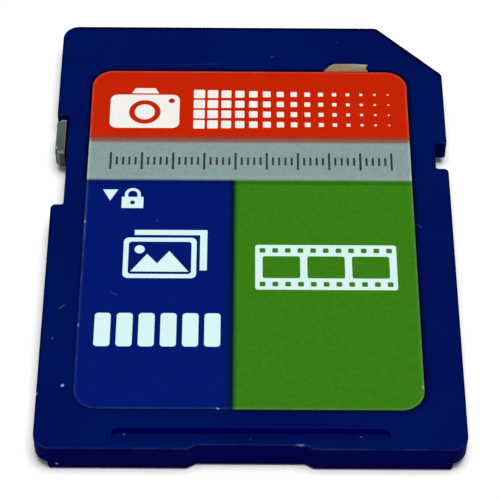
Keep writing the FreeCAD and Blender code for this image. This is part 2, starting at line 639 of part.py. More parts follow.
# Chips on the board's upper side.
def chip_body(label, half_x, half_y, middle_x, middle_y, bottom, height):
    body = new_body(label)
    across = (f"{middle_x} - {half_x}", f"{middle_x} + {half_x}")
    corners = rectangle(*across, f"{middle_y} - {half_y}", f"{middle_y} + {half_y}")
    sketch = profile(body, label + "_outline", "XY_Plane", bottom, corners)
    pad(body, label + "_moulding", sketch, height)
    top = f"({bottom} + {height})"
    bevel_edges(body, label + "_edge", "Sizes.chip_bevel", level_at(top))
    mark_x = f"{middle_x} - {half_x} + Sizes.dimple_margin"
    mark_y = f"{middle_y} - {half_y} + Sizes.dimple_margin"
    mark = disc(body, label + "_mark", top, mark_x, mark_y, "Sizes.dimple_radius")
    pocket(body, label + "_dimple", mark, "Sizes.dimple_depth")
    return body


def repeat_along(body, name, originals, axis_role, count, pitch):
    doc.recompute()
    feature = body.newObject("PartDesign::LinearPattern", name)
    feature.Originals = originals
    axis = next(f for f in body.Origin.OriginFeatures if f.Role == axis_role)
    feature.Direction = (axis, [""])
    feature.setExpression("Length", f"({count} - 1) * {pitch}")
    feature.setExpression("Occurrences", count)
    body.Tip = feature
    doc.recompute()
    return feature


def build_controller_chip():
    half = "(Sizes.controller_side / 2)"
    bottom = f"({BOARD_TOP} + Sizes.terminal_height)"
    height = f"({CEILING} - Sizes.controller_headroom - {bottom})"
    return chip_body("controller_chip", half, half, "Sizes.controller_x", CONTROLLER_Y, bottom, height)


def build_controller_terminals():
    body = new_body("controller_terminals")
    count, pitch = "Sizes.terminals_per_side", "Sizes.terminal_pitch"
    start = f"(({count} - 1) * {pitch} / 2)"
    outer = "(Sizes.controller_side / 2 + Sizes.terminal_reach)"
    inner = f"({outer} - Sizes.terminal_length)"
    half = "Sizes.terminal_width / 2"

    def terminal(name, first, row_middle, sign, across):
        low, high = sorted((f"{row_middle} {sign} {inner}", f"{row_middle} {sign} {outer}"), key=number)
        sides = (f"{first} - {half}", f"{first} + {half}")
        corners = rectangle(*sides, low, high) if across else rectangle(low, high, *sides)
        sketch = profile(body, f"terminal_{name}_outline", "XY_Plane", BOARD_TOP, corners)
        return pad(body, f"terminal_{name}", sketch, "Sizes.terminal_height")

    first = f"Sizes.controller_x - {start}"
    pair = [terminal(name, first, CONTROLLER_Y, sign, True) for name, sign in (("near", "-"), ("far", "+"))]
    repeat_along(body, "rows_across", pair, "X_Axis", count, pitch)
    first = f"{CONTROLLER_Y} - {start}"
    middle = "Sizes.controller_x"
    pair = [terminal(name, first, middle, sign, False) for name, sign in (("left", "-"), ("right", "+"))]
    repeat_along(body, "rows_along", pair, "Y_Axis", count, pitch)
    return body


FLASH_BOTTOM = f"({BOARD_TOP} + Sizes.flash_standoff)"
FLASH_HEIGHT = f"({CEILING} - Sizes.flash_headroom - {FLASH_BOTTOM})"


def build_flash_chip():
    half_x, half_y = "(Sizes.flash_length / 2)", "(Sizes.flash_width / 2)"
    return chip_body("flash_chip", half_x, half_y, "0", FLASH_Y, FLASH_BOTTOM, FLASH_HEIGHT)


def build_flash_leads():
    # Gull-wing leads: out of the body at half height, down, and out again on a foot.
    body = new_body("flash_leads")
    count, pitch = "Sizes.flash_leads_per_side", "Sizes.lead_pitch"
    half_body = "Sizes.flash_length / 2"
    exit_low = f"({FLASH_BOTTOM} + {FLASH_HEIGHT} / 2 - Sizes.lead_thickness / 2)"
    bend = f"{half_body} + Sizes.lead_shoulder"
    tip = f"{half_body} + Sizes.lead_reach"
    section = [
        (half_body, exit_low),
        (bend, exit_low),
        (bend, BOARD_TOP),
        (tip, BOARD_TOP),
        (tip, f"{BOARD_TOP} + Sizes.lead_thickness"),
        (f"{bend} + Sizes.lead_thickness", f"{BOARD_TOP} + Sizes.lead_thickness"),
        (f"{bend} + Sizes.lead_thickness", f"{exit_low} + Sizes.lead_thickness"),
        (half_body, f"{exit_low} + Sizes.lead_thickness"),
    ]
    first = f"({FLASH_Y} - ({count} - 1) * {pitch} / 2 - Sizes.lead_width / 2)"
    leads = []
    for name, sign in (("right", ""), ("left", "-")):
        corners = [(f"{sign}({across})", up) for across, up in section]
        sketch = profile(body, f"lead_{name}_section", "XZ_Plane", f"-{first}", corners)
        leads.append(pad(body, f"lead_{name}", sketch, "Sizes.lead_width", downward=True))
    repeat_along(body, "lead_rows", leads, "Y_Axis", count, pitch)
    return body


# Chip resistors and capacitors, each a body with two metal end caps that stand a little proud.
def build_passive(label, middle_x, middle_y, height):
    def block(name, left, length, proud):
        box = doc.addObject("Part::Box", f"{label}_{name}")
        box.setExpression("Length", length)
        box.setExpression("Width", f"Sizes.passive_width + 2 * {proud}")
        box.setExpression("Height", f"{height} + {proud}")
        box.setExpression("Placement.Base.x", left)
        box.setExpression("Placement.Base.y", f"{middle_y} - Sizes.passive_width / 2 - {proud}")
        box.setExpression("Placement.Base.z", BOARD_TOP)
        return box

    left = f"({middle_x} - Sizes.passive_length / 2)"
    body = block("body", left, "Sizes.passive_length", "0")
    caps = [
        block("left_cap", left, "Sizes.end_cap_length", "Sizes.end_cap_proud"),
        block(
            "right_cap",
            f"{left} + Sizes.passive_length - Sizes.end_cap_length",
            "Sizes.end_cap_length",
            "Sizes.end_cap_proud",
        ),
    ]
    fused = doc.addObject("Part::MultiFuse", "Fused_" + label)
    fused.Shapes = [body, *caps]
    fused.Label = label
    return fused


def build_passives():
    made = []
    row_y = f"({CONTROLLER_Y} + Sizes.controller_side / 2 + Sizes.resistor_gap)"
    for n in range(1, RESISTOR_COUNT + 1):
        from_middle = n - (RESISTOR_COUNT + 1) / 2
        middle_x = f"(Sizes.controller_x + {from_middle} * Sizes.resistor_pitch)"
        made.append(build_passive(f"resistor_{n}", middle_x, row_y, "Sizes.resistor_height"))
    reach = "(Sizes.controller_side / 2 + Sizes.capacitor_gap)"
    n = 0
    for sign in "-+":
        for index in range(CAPACITORS_PER_COLUMN):
            n += 1
            from_middle = index - (CAPACITORS_PER_COLUMN - 1) / 2
            middle_y = f"({CONTROLLER_Y} + {from_middle} * Sizes.capacitor_pitch)"
            middle_x = f"(Sizes.controller_x {sign} {reach})"
            made.append(build_passive(f"capacitor_{n}", middle_x, middle_y, "Sizes.capacitor_height"))
    return made


def write_parts(parts):
    doc.recompute()
    for thing in doc.Objects:
        if {"Invalid", "Error"} & set(thing.State):
            raise RuntimeError(f"{thing.Label} did not build: {thing.State}")
    for part in parts:
        if part.Shape.isNull() or not part.Shape.isValid() or not part.Shape.Solids:
            raise RuntimeError(f"{part.Label} has no valid solid")
    os.makedirs("parts", exist_ok=True)
    for part in parts:
        part.Shape.exportStep(f"parts/{part.Label}.step")
        print(f"{part.Label}: {len(part.Shape.Solids)} solid(s), {part.Shape.Volume:.3f} mm3")


write_parts(
    [
        build_front_cover(),
        build_rear_cover(),
        build_lock_slider(),
        build_front_label(),
        build_sticker_residue(),
        build_circuit_board(),
        *[build_contact_pad(n) for n in sorted(PAD_MIDDLES)],
        build_controller_chip(),
        build_controller_terminals(),
        build_flash_chip(),
        build_flash_leads(),
        *build_passives(),
    ]
)
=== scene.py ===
import math

import bmesh
import bpy
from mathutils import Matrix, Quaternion, Vector


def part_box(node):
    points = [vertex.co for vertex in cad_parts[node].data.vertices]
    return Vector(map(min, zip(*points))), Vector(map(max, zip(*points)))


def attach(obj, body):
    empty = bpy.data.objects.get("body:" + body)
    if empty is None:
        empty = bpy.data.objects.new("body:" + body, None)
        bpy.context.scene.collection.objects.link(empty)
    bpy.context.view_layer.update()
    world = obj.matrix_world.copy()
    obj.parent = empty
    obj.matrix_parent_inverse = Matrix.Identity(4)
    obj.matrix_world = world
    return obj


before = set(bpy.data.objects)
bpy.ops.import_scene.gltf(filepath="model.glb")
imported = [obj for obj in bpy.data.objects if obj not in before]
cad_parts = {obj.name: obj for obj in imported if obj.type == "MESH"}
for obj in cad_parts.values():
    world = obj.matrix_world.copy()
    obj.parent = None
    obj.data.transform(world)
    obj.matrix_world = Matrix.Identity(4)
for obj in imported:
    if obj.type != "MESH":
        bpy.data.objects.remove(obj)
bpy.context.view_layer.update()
mm = 0.001  # the frame is in metres, and the settings are in millimetres except for the studio's
weld = 1e-7  # metres, points nearer than this are merged
print("frame loaded,", len(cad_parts), "nodes")


# node helpers

def colour(red, green, blue):
    return (red, green, blue, 1.0)


black = colour(0.0, 0.0, 0.0)


def setInputs(tree, node, inputs):  # a socket is linked, and a constant stays on the node's own socket
    for key, value in inputs.items():
        if isinstance(value, bpy.types.NodeSocket):
            tree.links.new(value, node.inputs[key])
        else:
            node.inputs[key].default_value = value


def addNode(tree, kind, inputs=None, **settings):
    node = tree.nodes.new(kind)
    for key, value in settings.items():
        setattr(node, key, value)
    setInputs(tree, node, inputs or {})
    return node


def calc(tree, operation, *values, clamp=False):
    inputs = dict(enumerate(values))
    return addNode(tree, "ShaderNodeMath", inputs, operation=operation, use_clamp=clamp).outputs[0]


def times(tree, first, second):
    return calc(tree, "MULTIPLY", first, second)


def most(tree, first, second):
    return calc(tree, "MAXIMUM", first, second)


def vector(tree, operation, *values):
    return addNode(tree, "ShaderNodeVectorMath", dict(enumerate(values)), operation=operation).outputs


def fade(tree, value, low, high, lowOut=0.0, highOut=1.0):
    inputs = {0: value, 1: low, 2: high, 3: lowOut, 4: highOut}
    return addNode(tree, "ShaderNodeMapRange", inputs, interpolation_type="SMOOTHSTEP").outputs[0]


def between(tree, mask, low, high):  # from low where the mask is 0 to high where it is 1
    return fade(tree, mask, 0.0, 1.0, low, high)


def overGrain(tree, height, low, high):  # from low in a grain's hollows to high on its peaks
    return fade(tree, height, 0.2, 0.8, low, high)


def mixColour(tree, share, first, second):
    inputs = {0: share, 6: first, 7: second}
    return addNode(tree, "ShaderNodeMix", inputs, data_type="RGBA").outputs[2]


def noise(tree, point, scale, detail=2.0, roughness=0.5):
    inputs = {"Vector": point, "Scale": scale, "Detail": detail, "Roughness": roughness}
    return addNode(tree, "ShaderNodeTexNoise", inputs).outputs[0]


def stretched(tree, point, scale, turn=0.0, shift=(0.0, 0.0, 0.0)):
    turned = (0.0, 0.0, math.radians(turn))
    inputs = {"Vector": point, "Location": shift, "Rotation": turned, "Scale": scale}
    return addNode(tree, "ShaderNodeMapping", inputs).outputs[0]


def surfacePoint(tree):  # the point on the surface, in millimetres
    spot = addNode(tree, "ShaderNodeTexCoord").outputs["Object"]
    return addNode(tree, "ShaderNodeVectorMath", {0: spot, "Scale": 1 / mm}, operation="SCALE").outputs[0]


def axes(tree, point):
    return addNode(tree, "ShaderNodeSeparateXYZ", {0: point}).outputs


def facingOf(tree):  # which way the surface looks
    return axes(tree, addNode(tree, "ShaderNodeNewGeometry").outputs["Normal"])


def outlineReach(tree, point, middle, half, radius):  # below 0 inside a rounded rectangle
    folded = vector(tree, "ABSOLUTE", vector(tree, "SUBTRACT", point, middle)[0])[0]
    inner = (half[0] - radius, half[1] - radius, 1e3)  # so tall that the height never counts
    past = vector(tree, "SUBTRACT", folded, inner)[0]
    outer = vector(tree, "MAXIMUM", past, (0.0, 0.0, 0.0))[0]
    length = vector(tree, "LENGTH", outer)["Value"]
    sides = axes(tree, past)
    within = calc(tree, "MINIMUM", most(tree, sides[0], sides[1]), 0.0)
    return calc(tree, "SUBTRACT", calc(tree, "ADD", length, within), radius)


def boxOf(node):  # a node's lowest and highest corners, in millimetres
    return tuple(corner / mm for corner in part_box(node))


def newGroup(name, inputs, outputs):
    tree = bpy.data.node_groups.new(name, "ShaderNodeTree")
    for sockets, way in ((inputs, "INPUT"), (outputs, "OUTPUT")):
        for socketName, kind in sockets.items():
            tree.interface.new_socket(name=socketName, in_out=way, socket_type="NodeSocket" + kind)
    return tree, tree.nodes.new("NodeGroupInput").outputs, tree.nodes.new("NodeGroupOutput")


def place(tree, group, inputs):
    return addNode(tree, "ShaderNodeGroup", inputs, node_tree=group).outputs


def newMaterial(name, shader="ShaderNodeBsdfPrincipled"):
    material = bpy.data.materials.new(name)
    material.use_nodes = True
    tree = material.node_tree
    tree.nodes.clear()
    surface = addNode(tree, shader)
    addNode(tree, "ShaderNodeOutputMaterial", {"Surface": surface.outputs[0]})
    return material, tree, surface


def relief(tree, height, depth):  # bump of that depth, in millimetres
    return addNode(tree, "ShaderNodeBump", {"Height": height, "Distance": depth * mm}).outputs[0]


def dress(tree, surface, shade, gloss, bump, specular=0.5, metallic=0.0):
    setInputs(tree, surface, {"Base Color": shade, "Roughness": gloss, "Normal": bump,
                              "Specular IOR Level": specular, "Metallic": metallic})


# shared effects: a noise is given by its fineness per millimetre, detail and roughness

grainShape = {"fine": (3.0, 0.6), "broad": (0.22, 3.0, 0.55), "mottle": (0.3, 0.7)}


def makeMouldGrain(settings):
    tree, given, made = newGroup("mouldGrain", {"Point": "Vector", "Fineness": "Float"},
                                 {"Height": "Float", "Mottle": "Float"})
    fine = noise(tree, given["Point"], given["Fineness"], *settings["fine"])
    broad = noise(tree, given["Point"], *settings["broad"])
    setInputs(tree, made, {"Height": fine, "Mottle": fade(tree, broad, *settings["mottle"])})
    return tree


wearShape = {
    "hairs": ((24.0, 0.0), (-52.0, 7.3), (81.0, 15.1)),  # turn and shift of three families of hairlines
    "hairStretch": (0.3, 8.0, 0.3),
    "hairSoftness": 0.06,
    "specks": 0.55,  # cells per millimetre, with a speck in the middle of some
    "speckSize": (0.05, 0.02),  # outer and inner radius, as a share of a cell
    "speckChance": 0.86,  # a cell above this has one
    "smudge": (0.35, 4.0, 0.62),
    "smudgeFrom": (0.45, 0.72),
}


def makeHandling(settings):
    tree, given, made = newGroup("handling", {"Point": "Vector", "Sparse": "Float"},
                                 {"Scratch": "Float", "Speck": "Float", "Smudge": "Float"})
    hairs = 0.0
    for turn, shift in settings["hairs"]:
        along = stretched(tree, given["Point"], settings["hairStretch"], turn, (shift, shift, 0.0))
        limit = calc(tree, "ADD", given["Sparse"], settings["hairSoftness"])
        hairs = most(tree, hairs, fade(tree, noise(tree, along, 1.0, 1.0), given["Sparse"], limit))
    cells = addNode(tree, "ShaderNodeTexVoronoi", {"Vector": given["Point"], "Scale": settings["specks"]})
    chance = axes(tree, cells.outputs["Color"])[0]
    outer, inner = settings["speckSize"]
    dot = fade(tree, cells.outputs["Distance"], inner, outer, 1.0, 0.0)
    kept = calc(tree, "GREATER_THAN", chance, settings["speckChance"])
    smudge = fade(tree, noise(tree, given["Point"], *settings["smudge"]), *settings["smudgeFrom"])
    setInputs(tree, made, {"Scratch": hairs, "Speck": times(tree, dot, kept), "Smudge": smudge})
    return tree


markShape = {"ragged": (1.7, 2.0), "raggedFrom": (0.2, 0.8), "raggedReach": 0.45, "border": (0.7, 1.0)}


def makePlacedMark(settings):  # one ragged mark: a place, half sizes and a turn
    inputs = {"Point": "Vector", "Middle": "Vector", "Half": "Vector", "Turn": "Vector"}
    tree, given, made = newGroup("placedMark", inputs, {"Mark": "Float"})
    inputs = {"Vector": given["Point"], "Location": given["Middle"], "Rotation": given["Turn"],
              "Scale": given["Half"]}
    local = addNode(tree, "ShaderNodeMapping", inputs, vector_type="TEXTURE").outputs[0]
    reach = vector(tree, "LENGTH", local)["Value"]
    spread = settings["raggedReach"]
    ragged = fade(tree, noise(tree, local, *settings["ragged"]), *settings["raggedFrom"], -spread, spread)
    mark = fade(tree, calc(tree, "ADD", reach, ragged), *settings["border"], 1.0, 0.0)
    setInputs(tree, made, {"Mark": mark})
    return tree


mouldGrain = makeMouldGrain(grainShape)
handling = makeHandling(wearShape)
placedMark = makePlacedMark(markShape)


def grainOf(tree, point, settings):
    return place(tree, mouldGrain, {"Point": point, "Fineness": settings["grain"]})


def wearOf(tree, point, settings):
    return place(tree, handling, {"Point": point, "Sparse": settings["sparse"]})


def marksOf(tree, point, marks):
    total = 0.0
    for middle, half, turn, strength in marks:
        inputs = {"Point": point, "Middle": middle, "Half": half, "Turn": (0.0, 0.0, math.radians(turn))}
        total = most(tree, total, times(tree, place(tree, placedMark, inputs)[0], strength))
    return total


# moulded covers

coverFinish = {
    "navy": colour(0.0003, 0.007, 0.108),
    "deep": colour(0.0002, 0.0054, 0.09),
    # hairline scratches, and the painted highlight on the near edge's round
    "scratchAndHighlight": colour(0.035, 0.07, 0.26),
    # dark for the grain's hollows, the welded seam and painted shade
    "darkForGrainSeamShade": colour(0.0, 0.0006, 0.006),
    "fleck": colour(0.3, 0.36, 0.66),
    "roughness": (0.54, 0.4),  # where it is clean, and where it is smudged
    "specular": 0.004,
    "grain": 7.0,  # per millimetre
    "grainDepth": 0.0022,
    "grainFrom": (0.3, 0.7),
    "grainShare": 0.13,  # how far the grain's hollows are darker
    "sparse": 0.8,  # higher has fewer hairline scratches
    "scratchShare": 0.05,
    "speckShare": 0.08,
    "roundTilt": (0.99, 0.93),  # how much a face looks up where a round starts
    "wallTilt": (0.3, 0.1),  # the same where it ends and a wall starts
    "nearTilt": (-0.05, -0.3),  # how much a face looks to the near side where its round gets the painted highlight
    "farTilt": (0.05, 0.3),  # and to the far side where its round gets painted shade
    "rimDepth": (0.5, 0.35),  # how far in from the outline the round may lie
    "patches": (0.8, 4.0, 0.65),
    "patchFrom": (0.35, 0.7),
    "highlightShare": (0.05, 0.26),  # painted highlight on the near edge's round, from least to most
    "farShadeShare": 0.85,  # painted shade on the far edge's round
    "farLine": (-0.34, -0.16, 0.92),  # painted shade along the far and keyed edges: from, to and share
    "sideLine": (-0.17, -0.07, 0.5),  # the same along the long sides
    "wall": colour(0.0001, 0.0009, 0.09),  # painted shade: the upright walls, a darker copy of the faces' navy
    "wallShade": (1.0, 0.1, 0.35),  # painted shade on the walls, darker towards the floor: from and to in height, and share
    "recess": (1.9, 2.04),  # heights that the floor of the label's recess lies between
    "recessShade": (0.93, 0.98, 0.9),  # painted shade on that floor: how much it looks up, from and to, and share
    "labelRimShade": (0.36, 0.08, 0.6),  # painted shade on the face round the label: from, to and share
    "wiped": ((-1.2, -0.8), (3.0, 3.6), 0.15),  # short of these in x and y, beside the blue field, only a share of the painted shade on the recess floor and round the label is kept
    "step": colour(0.0001, 0.0008, 0.31),  # painted light: the fingernail groove's wall, paler than the other walls
    "stepAt": (-15.0, -14.0, 1.55),  # between these along the card, and above this height
    "stepTilt": (-0.6, -0.8),
    "seam": (0.022, 0.4, 0.75),  # half the welded seam's width, the core's share of it, and strength
    "keySum": 24.0,  # x plus y along the keyed corner
    "scrapShadow": [((5.98, 12.84, 2.1), (1.3, 0.13, 0.3), 0.0, 0.85)],  # painted shadow along the torn scrap's far edge
    "marks": [  # middle, half sizes, turn, strength
        ((-10.54, -11.84, 2.1), (0.11, 0.085, 0.3), 20.0, 1.0),
        ((-11.96, -12.4, 2.0), (0.07, 0.12, 0.3), 0.0, 0.7),
        ((-10.88, -6.35, 2.1), (0.3, 0.03, 0.3), 48.0, 0.2),
        ((-11.3, -8.6, 2.1), (0.12, 0.04, 0.3), 70.0, 0.14),
        ((-3.6, 12.72, 2.1), (2.3, 0.04, 0.3), 1.5, 0.03),
        ((1.32, 13.43, 2.1), (0.1, 0.08, 0.3), 0.0, 0.09),
        ((-6.98, -14.83, 1.85), (0.1, 0.07, 0.3), 0.0, 0.3),
        ((-10.71, -16.0, 0.54), (0.08, 0.2, 0.09), 0.0, 0.8),
        ((2.7, -15.72, 2.1), (0.3, 0.06, 0.16), 3.0, 0.4),
        ((10.02, -0.28, 2.1), (0.3, 0.03, 0.3), -46.0, 0.09),
        ((6.1, -14.98, 1.9), (0.1, 0.07, 0.3), 0.0, 0.18),
    ],
}


# painted shade on the cover's edges, walls and recess, with the welded seam, a real dark joint
def coverShadeAndSeam(tree, point, settings, facing, across, far, rounded, upright):
    x, y, z = axes(tree, point)
    # painted shade: the far-facing round, and dark lines along the far, keyed and long edges
    shadeAndSeam = times(tree, rounded, fade(tree, facing[1], *settings["farTilt"], 0.0, settings["farShadeShare"]))
    level = calc(tree, "SUBTRACT", 1.0, upright)
    for edge, (start, end, share) in ((far, settings["farLine"]), (across, settings["sideLine"])):
        shadeAndSeam = most(tree, shadeAndSeam, times(tree, level, fade(tree, edge, start, end, 0.0, share)))
    # painted shade: the walls darker towards the floor
    start, end, share = settings["wallShade"]
    shadeAndSeam = most(tree, shadeAndSeam, times(tree, upright, fade(tree, z, start, end, 0.0, share)))
    # painted shade on the floor of the label's recess
    lower, upper = settings["recess"]
    start, end, share = settings["recessShade"]
    sunk = times(tree, calc(tree, "GREATER_THAN", z, lower), calc(tree, "LESS_THAN", z, upper))
    sunk = times(tree, sunk, fade(tree, facing[2], start, end, 0.0, share))
    # painted shade round the label, kept only in part beside the blue field
    low, high = boxOf("front_label")
    start, end, share = settings["labelRimShade"]
    around = outlineReach(tree, point, (low + high) / 2, (high - low) / 2, labelFinish["cornerRadius"])
    around = fade(tree, around, start, end, 0.0, share)
    around = times(tree, around, calc(tree, "GREATER_THAN", z, upper))
    pastX, pastY, left = settings["wiped"]
    past = most(tree, fade(tree, x, *pastX), fade(tree, y, *pastY))
    shadeAndSeam = most(tree, shadeAndSeam, times(tree, most(tree, sunk, around), between(tree, past, left, 1.0)))
    # painted shadow of the torn scrap
    shadeAndSeam = most(tree, shadeAndSeam, marksOf(tree, point, settings["scrapShadow"]))
    half, core, strength = settings["seam"]
    seam = calc(tree, "ABSOLUTE", calc(tree, "SUBTRACT", z, boxOf("rear_cover")[1].z))
    return most(tree, fade(tree, seam, core * half, half, strength, 0.0), shadeAndSeam)


def coverPlastic(name, settings):
    material, tree, surface = newMaterial(name)
    point = surfacePoint(tree)
    x, y, z = axes(tree, point)
    top = boxOf("front_cover")[1]
    grain = grainOf(tree, point, settings)
    wear = wearOf(tree, point, settings)
    facing = facingOf(tree)
    across = calc(tree, "SUBTRACT", calc(tree, "ABSOLUTE", x), top.x)
    along = calc(tree, "SUBTRACT", calc(tree, "ABSOLUTE", y), top.y)
    keyed = calc(tree, "SUBTRACT", calc(tree, "ADD", x, y), settings["keySum"])
    keyed = times(tree, keyed, math.sqrt(0.5))
    reach = most(tree, most(tree, across, along), keyed)
    wallTo, wallFrom = settings["wallTilt"]
    rounded = fade(tree, facing[2], *settings["roundTilt"])
    rounded = times(tree, rounded, fade(tree, facing[2], wallFrom, wallTo))
    rounded = times(tree, rounded, fade(tree, reach, *(-depth for depth in settings["rimDepth"])))
    upright = fade(tree, calc(tree, "ABSOLUTE", facing[2]), wallTo, wallFrom)
    # painted highlight along the near edge's round, patchy
    patches = noise(tree, point, *settings["patches"])
    patchy = fade(tree, patches, *settings["patchFrom"], *settings["highlightShare"])
    nearHighlight = times(tree, times(tree, rounded, fade(tree, facing[1], *settings["nearTilt"])), patchy)
    far = most(tree, calc(tree, "SUBTRACT", y, top.y), keyed)
    shadeAndSeam = coverShadeAndSeam(tree, point, settings, facing, across, far, rounded, upright)
    hollows = fade(tree, grain["Height"], *settings["grainFrom"], settings["grainShare"], 0.0)
    # painted light on the fingernail groove's wall
    stepFrom, stepTo, stepZ = settings["stepAt"]
    step = times(tree, calc(tree, "GREATER_THAN", y, stepFrom), calc(tree, "GREATER_THAN", z, stepZ))
    step = times(tree, step, calc(tree, "LESS_THAN", y, stepTo))
    step = times(tree, step, fade(tree, facing[1], *settings["stepTilt"]))
    flecks = times(tree, wear["Speck"], settings["speckShare"])
    flecks = most(tree, flecks, marksOf(tree, point, settings["marks"]))
    shade = mixColour(tree, grain["Mottle"], settings["navy"], settings["deep"])
    shade = mixColour(tree, hollows, shade, settings["darkForGrainSeamShade"])
    # painted shade on the upright walls
    shade = mixColour(tree, upright, shade, settings["wall"])
    shade = mixColour(tree, step, shade, settings["step"])
    # painted shade, and the welded seam's dark joint
    shade = mixColour(tree, shadeAndSeam, shade, settings["darkForGrainSeamShade"])
    # painted highlight on the near round, then the real hairline scratches
    shade = mixColour(tree, nearHighlight, shade, settings["scratchAndHighlight"])
    scratch = times(tree, wear["Scratch"], settings["scratchShare"])
    shade = mixColour(tree, scratch, shade, settings["scratchAndHighlight"])
    shade = mixColour(tree, flecks, shade, settings["fleck"])
    gloss = between(tree, wear["Smudge"], *settings["roughness"])
    bump = relief(tree, grain["Height"], settings["grainDepth"])
    dress(tree, surface, shade, gloss, bump, settings["specular"])
    return material


# lock slider

sliderFinish = {
    "grey": colour(0.0775, 0.0965, 0.083),
    # grime in the smudges, and painted shade low down
    "grimeAndShade": colour(0.0455, 0.052, 0.04),
    "smudgeShare": 0.45,  # grime in the smudges
    "lowShade": (0.15, 0.25, 0.75),  # painted shade low down: above its foot, below its top, and share
    "deep": colour(0.003, 0.004, 0.01),  # painted shade behind the finger piece, where it goes into the card
    "inner": (-11.44, -11.4),  # where that starts in x
    "roundTilt": (0.98, 0.85),  # how much a face looks up where a round starts
    "wallTilt": (0.2, 0.4),  # the same where it ends
    "nearTilt": (-0.3, 0.0),  # the near end's round gets less of that pale
    "worn": 0.26,  # share of the pale on the finger piece's round: wear and painted highlight
    "farHighlight": (7.85, 8.1, 0.45),  # painted highlight along its far end: from, to and share
    "fleck": colour(0.42, 0.45, 0.44),
    "scratchShare": 0.25,
    "speckShare": 0.3,
    "roughness": (0.38, 0.55),
    "specular": 0.12,
    "grain": 9.0,
    "grainDepth": 0.002,
    "sparse": 0.7,
    "marks": [
        ((-11.75, 5.5, 1.97), (0.1, 0.06, 0.2), 20.0, 0.55),
        ((-11.9, 5.85, 1.97), (0.06, 0.1, 0.2), 0.0, 0.6),
        ((-11.55, 5.55, 1.97), (0.07, 0.06, 0.2), 0.0, 0.5),
    ],
}


def sliderPlastic(name, settings):
    material, tree, surface = newMaterial(name)
    point = surfacePoint(tree)
    x, y, z = axes(tree, point)
    low, high = (corner.z for corner in boxOf("lock_slider"))
    grain = grainOf(tree, point, settings)
    wear = wearOf(tree, point, settings)
    facing = facingOf(tree)
    # grime in the smudges, and painted shade towards its foot
    above, short, share = settings["lowShade"]
    grimeAndShadeMask = times(tree, wear["Smudge"], settings["smudgeShare"])
    grimeAndShadeMask = most(tree, grimeAndShadeMask, fade(tree, z, low + above, high - short, share, 0.0))
    # pale on the rounds, part wear and part painted highlight, and a painted highlight along the far end
    worn = fade(tree, facing[2], *settings["roundTilt"])
    worn = times(tree, worn, fade(tree, facing[2], *settings["wallTilt"]))
    worn = times(tree, worn, fade(tree, facing[1], *settings["nearTilt"], 0.0, settings["worn"]))
    start, end, share = settings["farHighlight"]
    worn = most(tree, worn, fade(tree, y, start, end, 0.0, share))
    flecks = times(tree, wear["Speck"], settings["speckShare"])
    flecks = most(tree, flecks, marksOf(tree, point, settings["marks"]))
    shade = mixColour(tree, grimeAndShadeMask, settings["grey"], settings["grimeAndShade"])
    # the pale of worn rounds and painted highlight, then scratches and flecks
    for share in (worn, times(tree, wear["Scratch"], settings["scratchShare"]), flecks):
        shade = mixColour(tree, share, shade, settings["fleck"])
    # painted shade behind the finger piece
    shade = mixColour(tree, fade(tree, x, *settings["inner"]), shade, settings["deep"])
    gloss = between(tree, grain["Mottle"], *settings["roughness"])
    bump = relief(tree, grain["Height"], settings["grainDepth"])
    dress(tree, surface, shade, gloss, bump, settings["specular"])
    return material


# printed label film

labelFinish = {
    "red": colour(0.588, 0.0175, 0.0004),
    "grey": colour(0.258, 0.36, 0.348),
    "blue": colour(0.0003, 0.0093, 0.16),
    "green": colour(0.042, 0.213, 0.0075),
    "overlap": colour(0.26, 0.03, 0.002),  # where red meets the grey band
    "dark": colour(0.0, 0.0085, 0.018),  # where blue meets green
    "gleam": colour(0.8, 0.85, 0.85),
    "film": colour(0.75, 0.95, 1.0),  # bare film along the cut edge
    "redFrom": (6.48, 0.33),  # where a field starts, and how far its border spreads
    "bandFrom": (3.24, 0.13),
    "greenFrom": (-1.02, 0.06),
    "overlapLine": (6.48, 0.38, 0.7, 0.4),  # place, half width, strength, and the core's share of the width
    "darkLine": (-1.1, 0.38, 0.9, 0.0),
    "bandShade": (3.02, 0.2, 0.27, 0.4),  # darker print beside the grey band
    "bandGleam": (3.42, 0.2, 0.05, 0.4),  # paler print along the band itself
    "cornerRadius": 1.3,
    "edge": (0.17, 0.05),  # the pale cut edge, from the outline
    "edgePatches": (1.1, 3.0),
    "patchFrom": (0.3, 0.7),
    "edgeShare": (0.022, 0.055),
    "bandEdge": 4.5,  # how much more of it shows beside the grey band
    "blueEdge": (-6.0, 0.5, 0.36),  # how much less beside the blue field's near part: from, to and share
    "speckle": (4.5, 2.0, 0.7),
    "speckleFrom": (0.3, 0.7),
    "speckleShare": 0.12,
    "speckleDepth": 0.0012,
    "roughness": (0.42, 0.52),
    "specular": 0.015,
    "sparse": 0.82,
    "scratchShare": 0.011,
    "nicks": [
        ((-9.88, -0.05, 2.08), (0.08, 0.13, 0.2), 0.0, 0.25),
        ((-9.88, -7.65, 2.08), (0.07, 0.1, 0.2), 0.0, 0.23),
        ((-1.83, -13.33, 2.08), (0.13, 0.06, 0.2), -25.0, 0.29),
        ((9.66, -11.83, 2.08), (0.08, 0.12, 0.2), 0.0, 0.25),
        ((-2.59, -7.53, 2.08), (0.06, 0.05, 0.2), 0.0, 0.17),
        ((-7.9, -5.4, 2.08), (0.3, 0.04, 0.2), -35.0, 0.034),
        ((-5.6, 0.05, 2.08), (0.05, 0.05, 0.2), 0.0, 0.06),
    ],
}


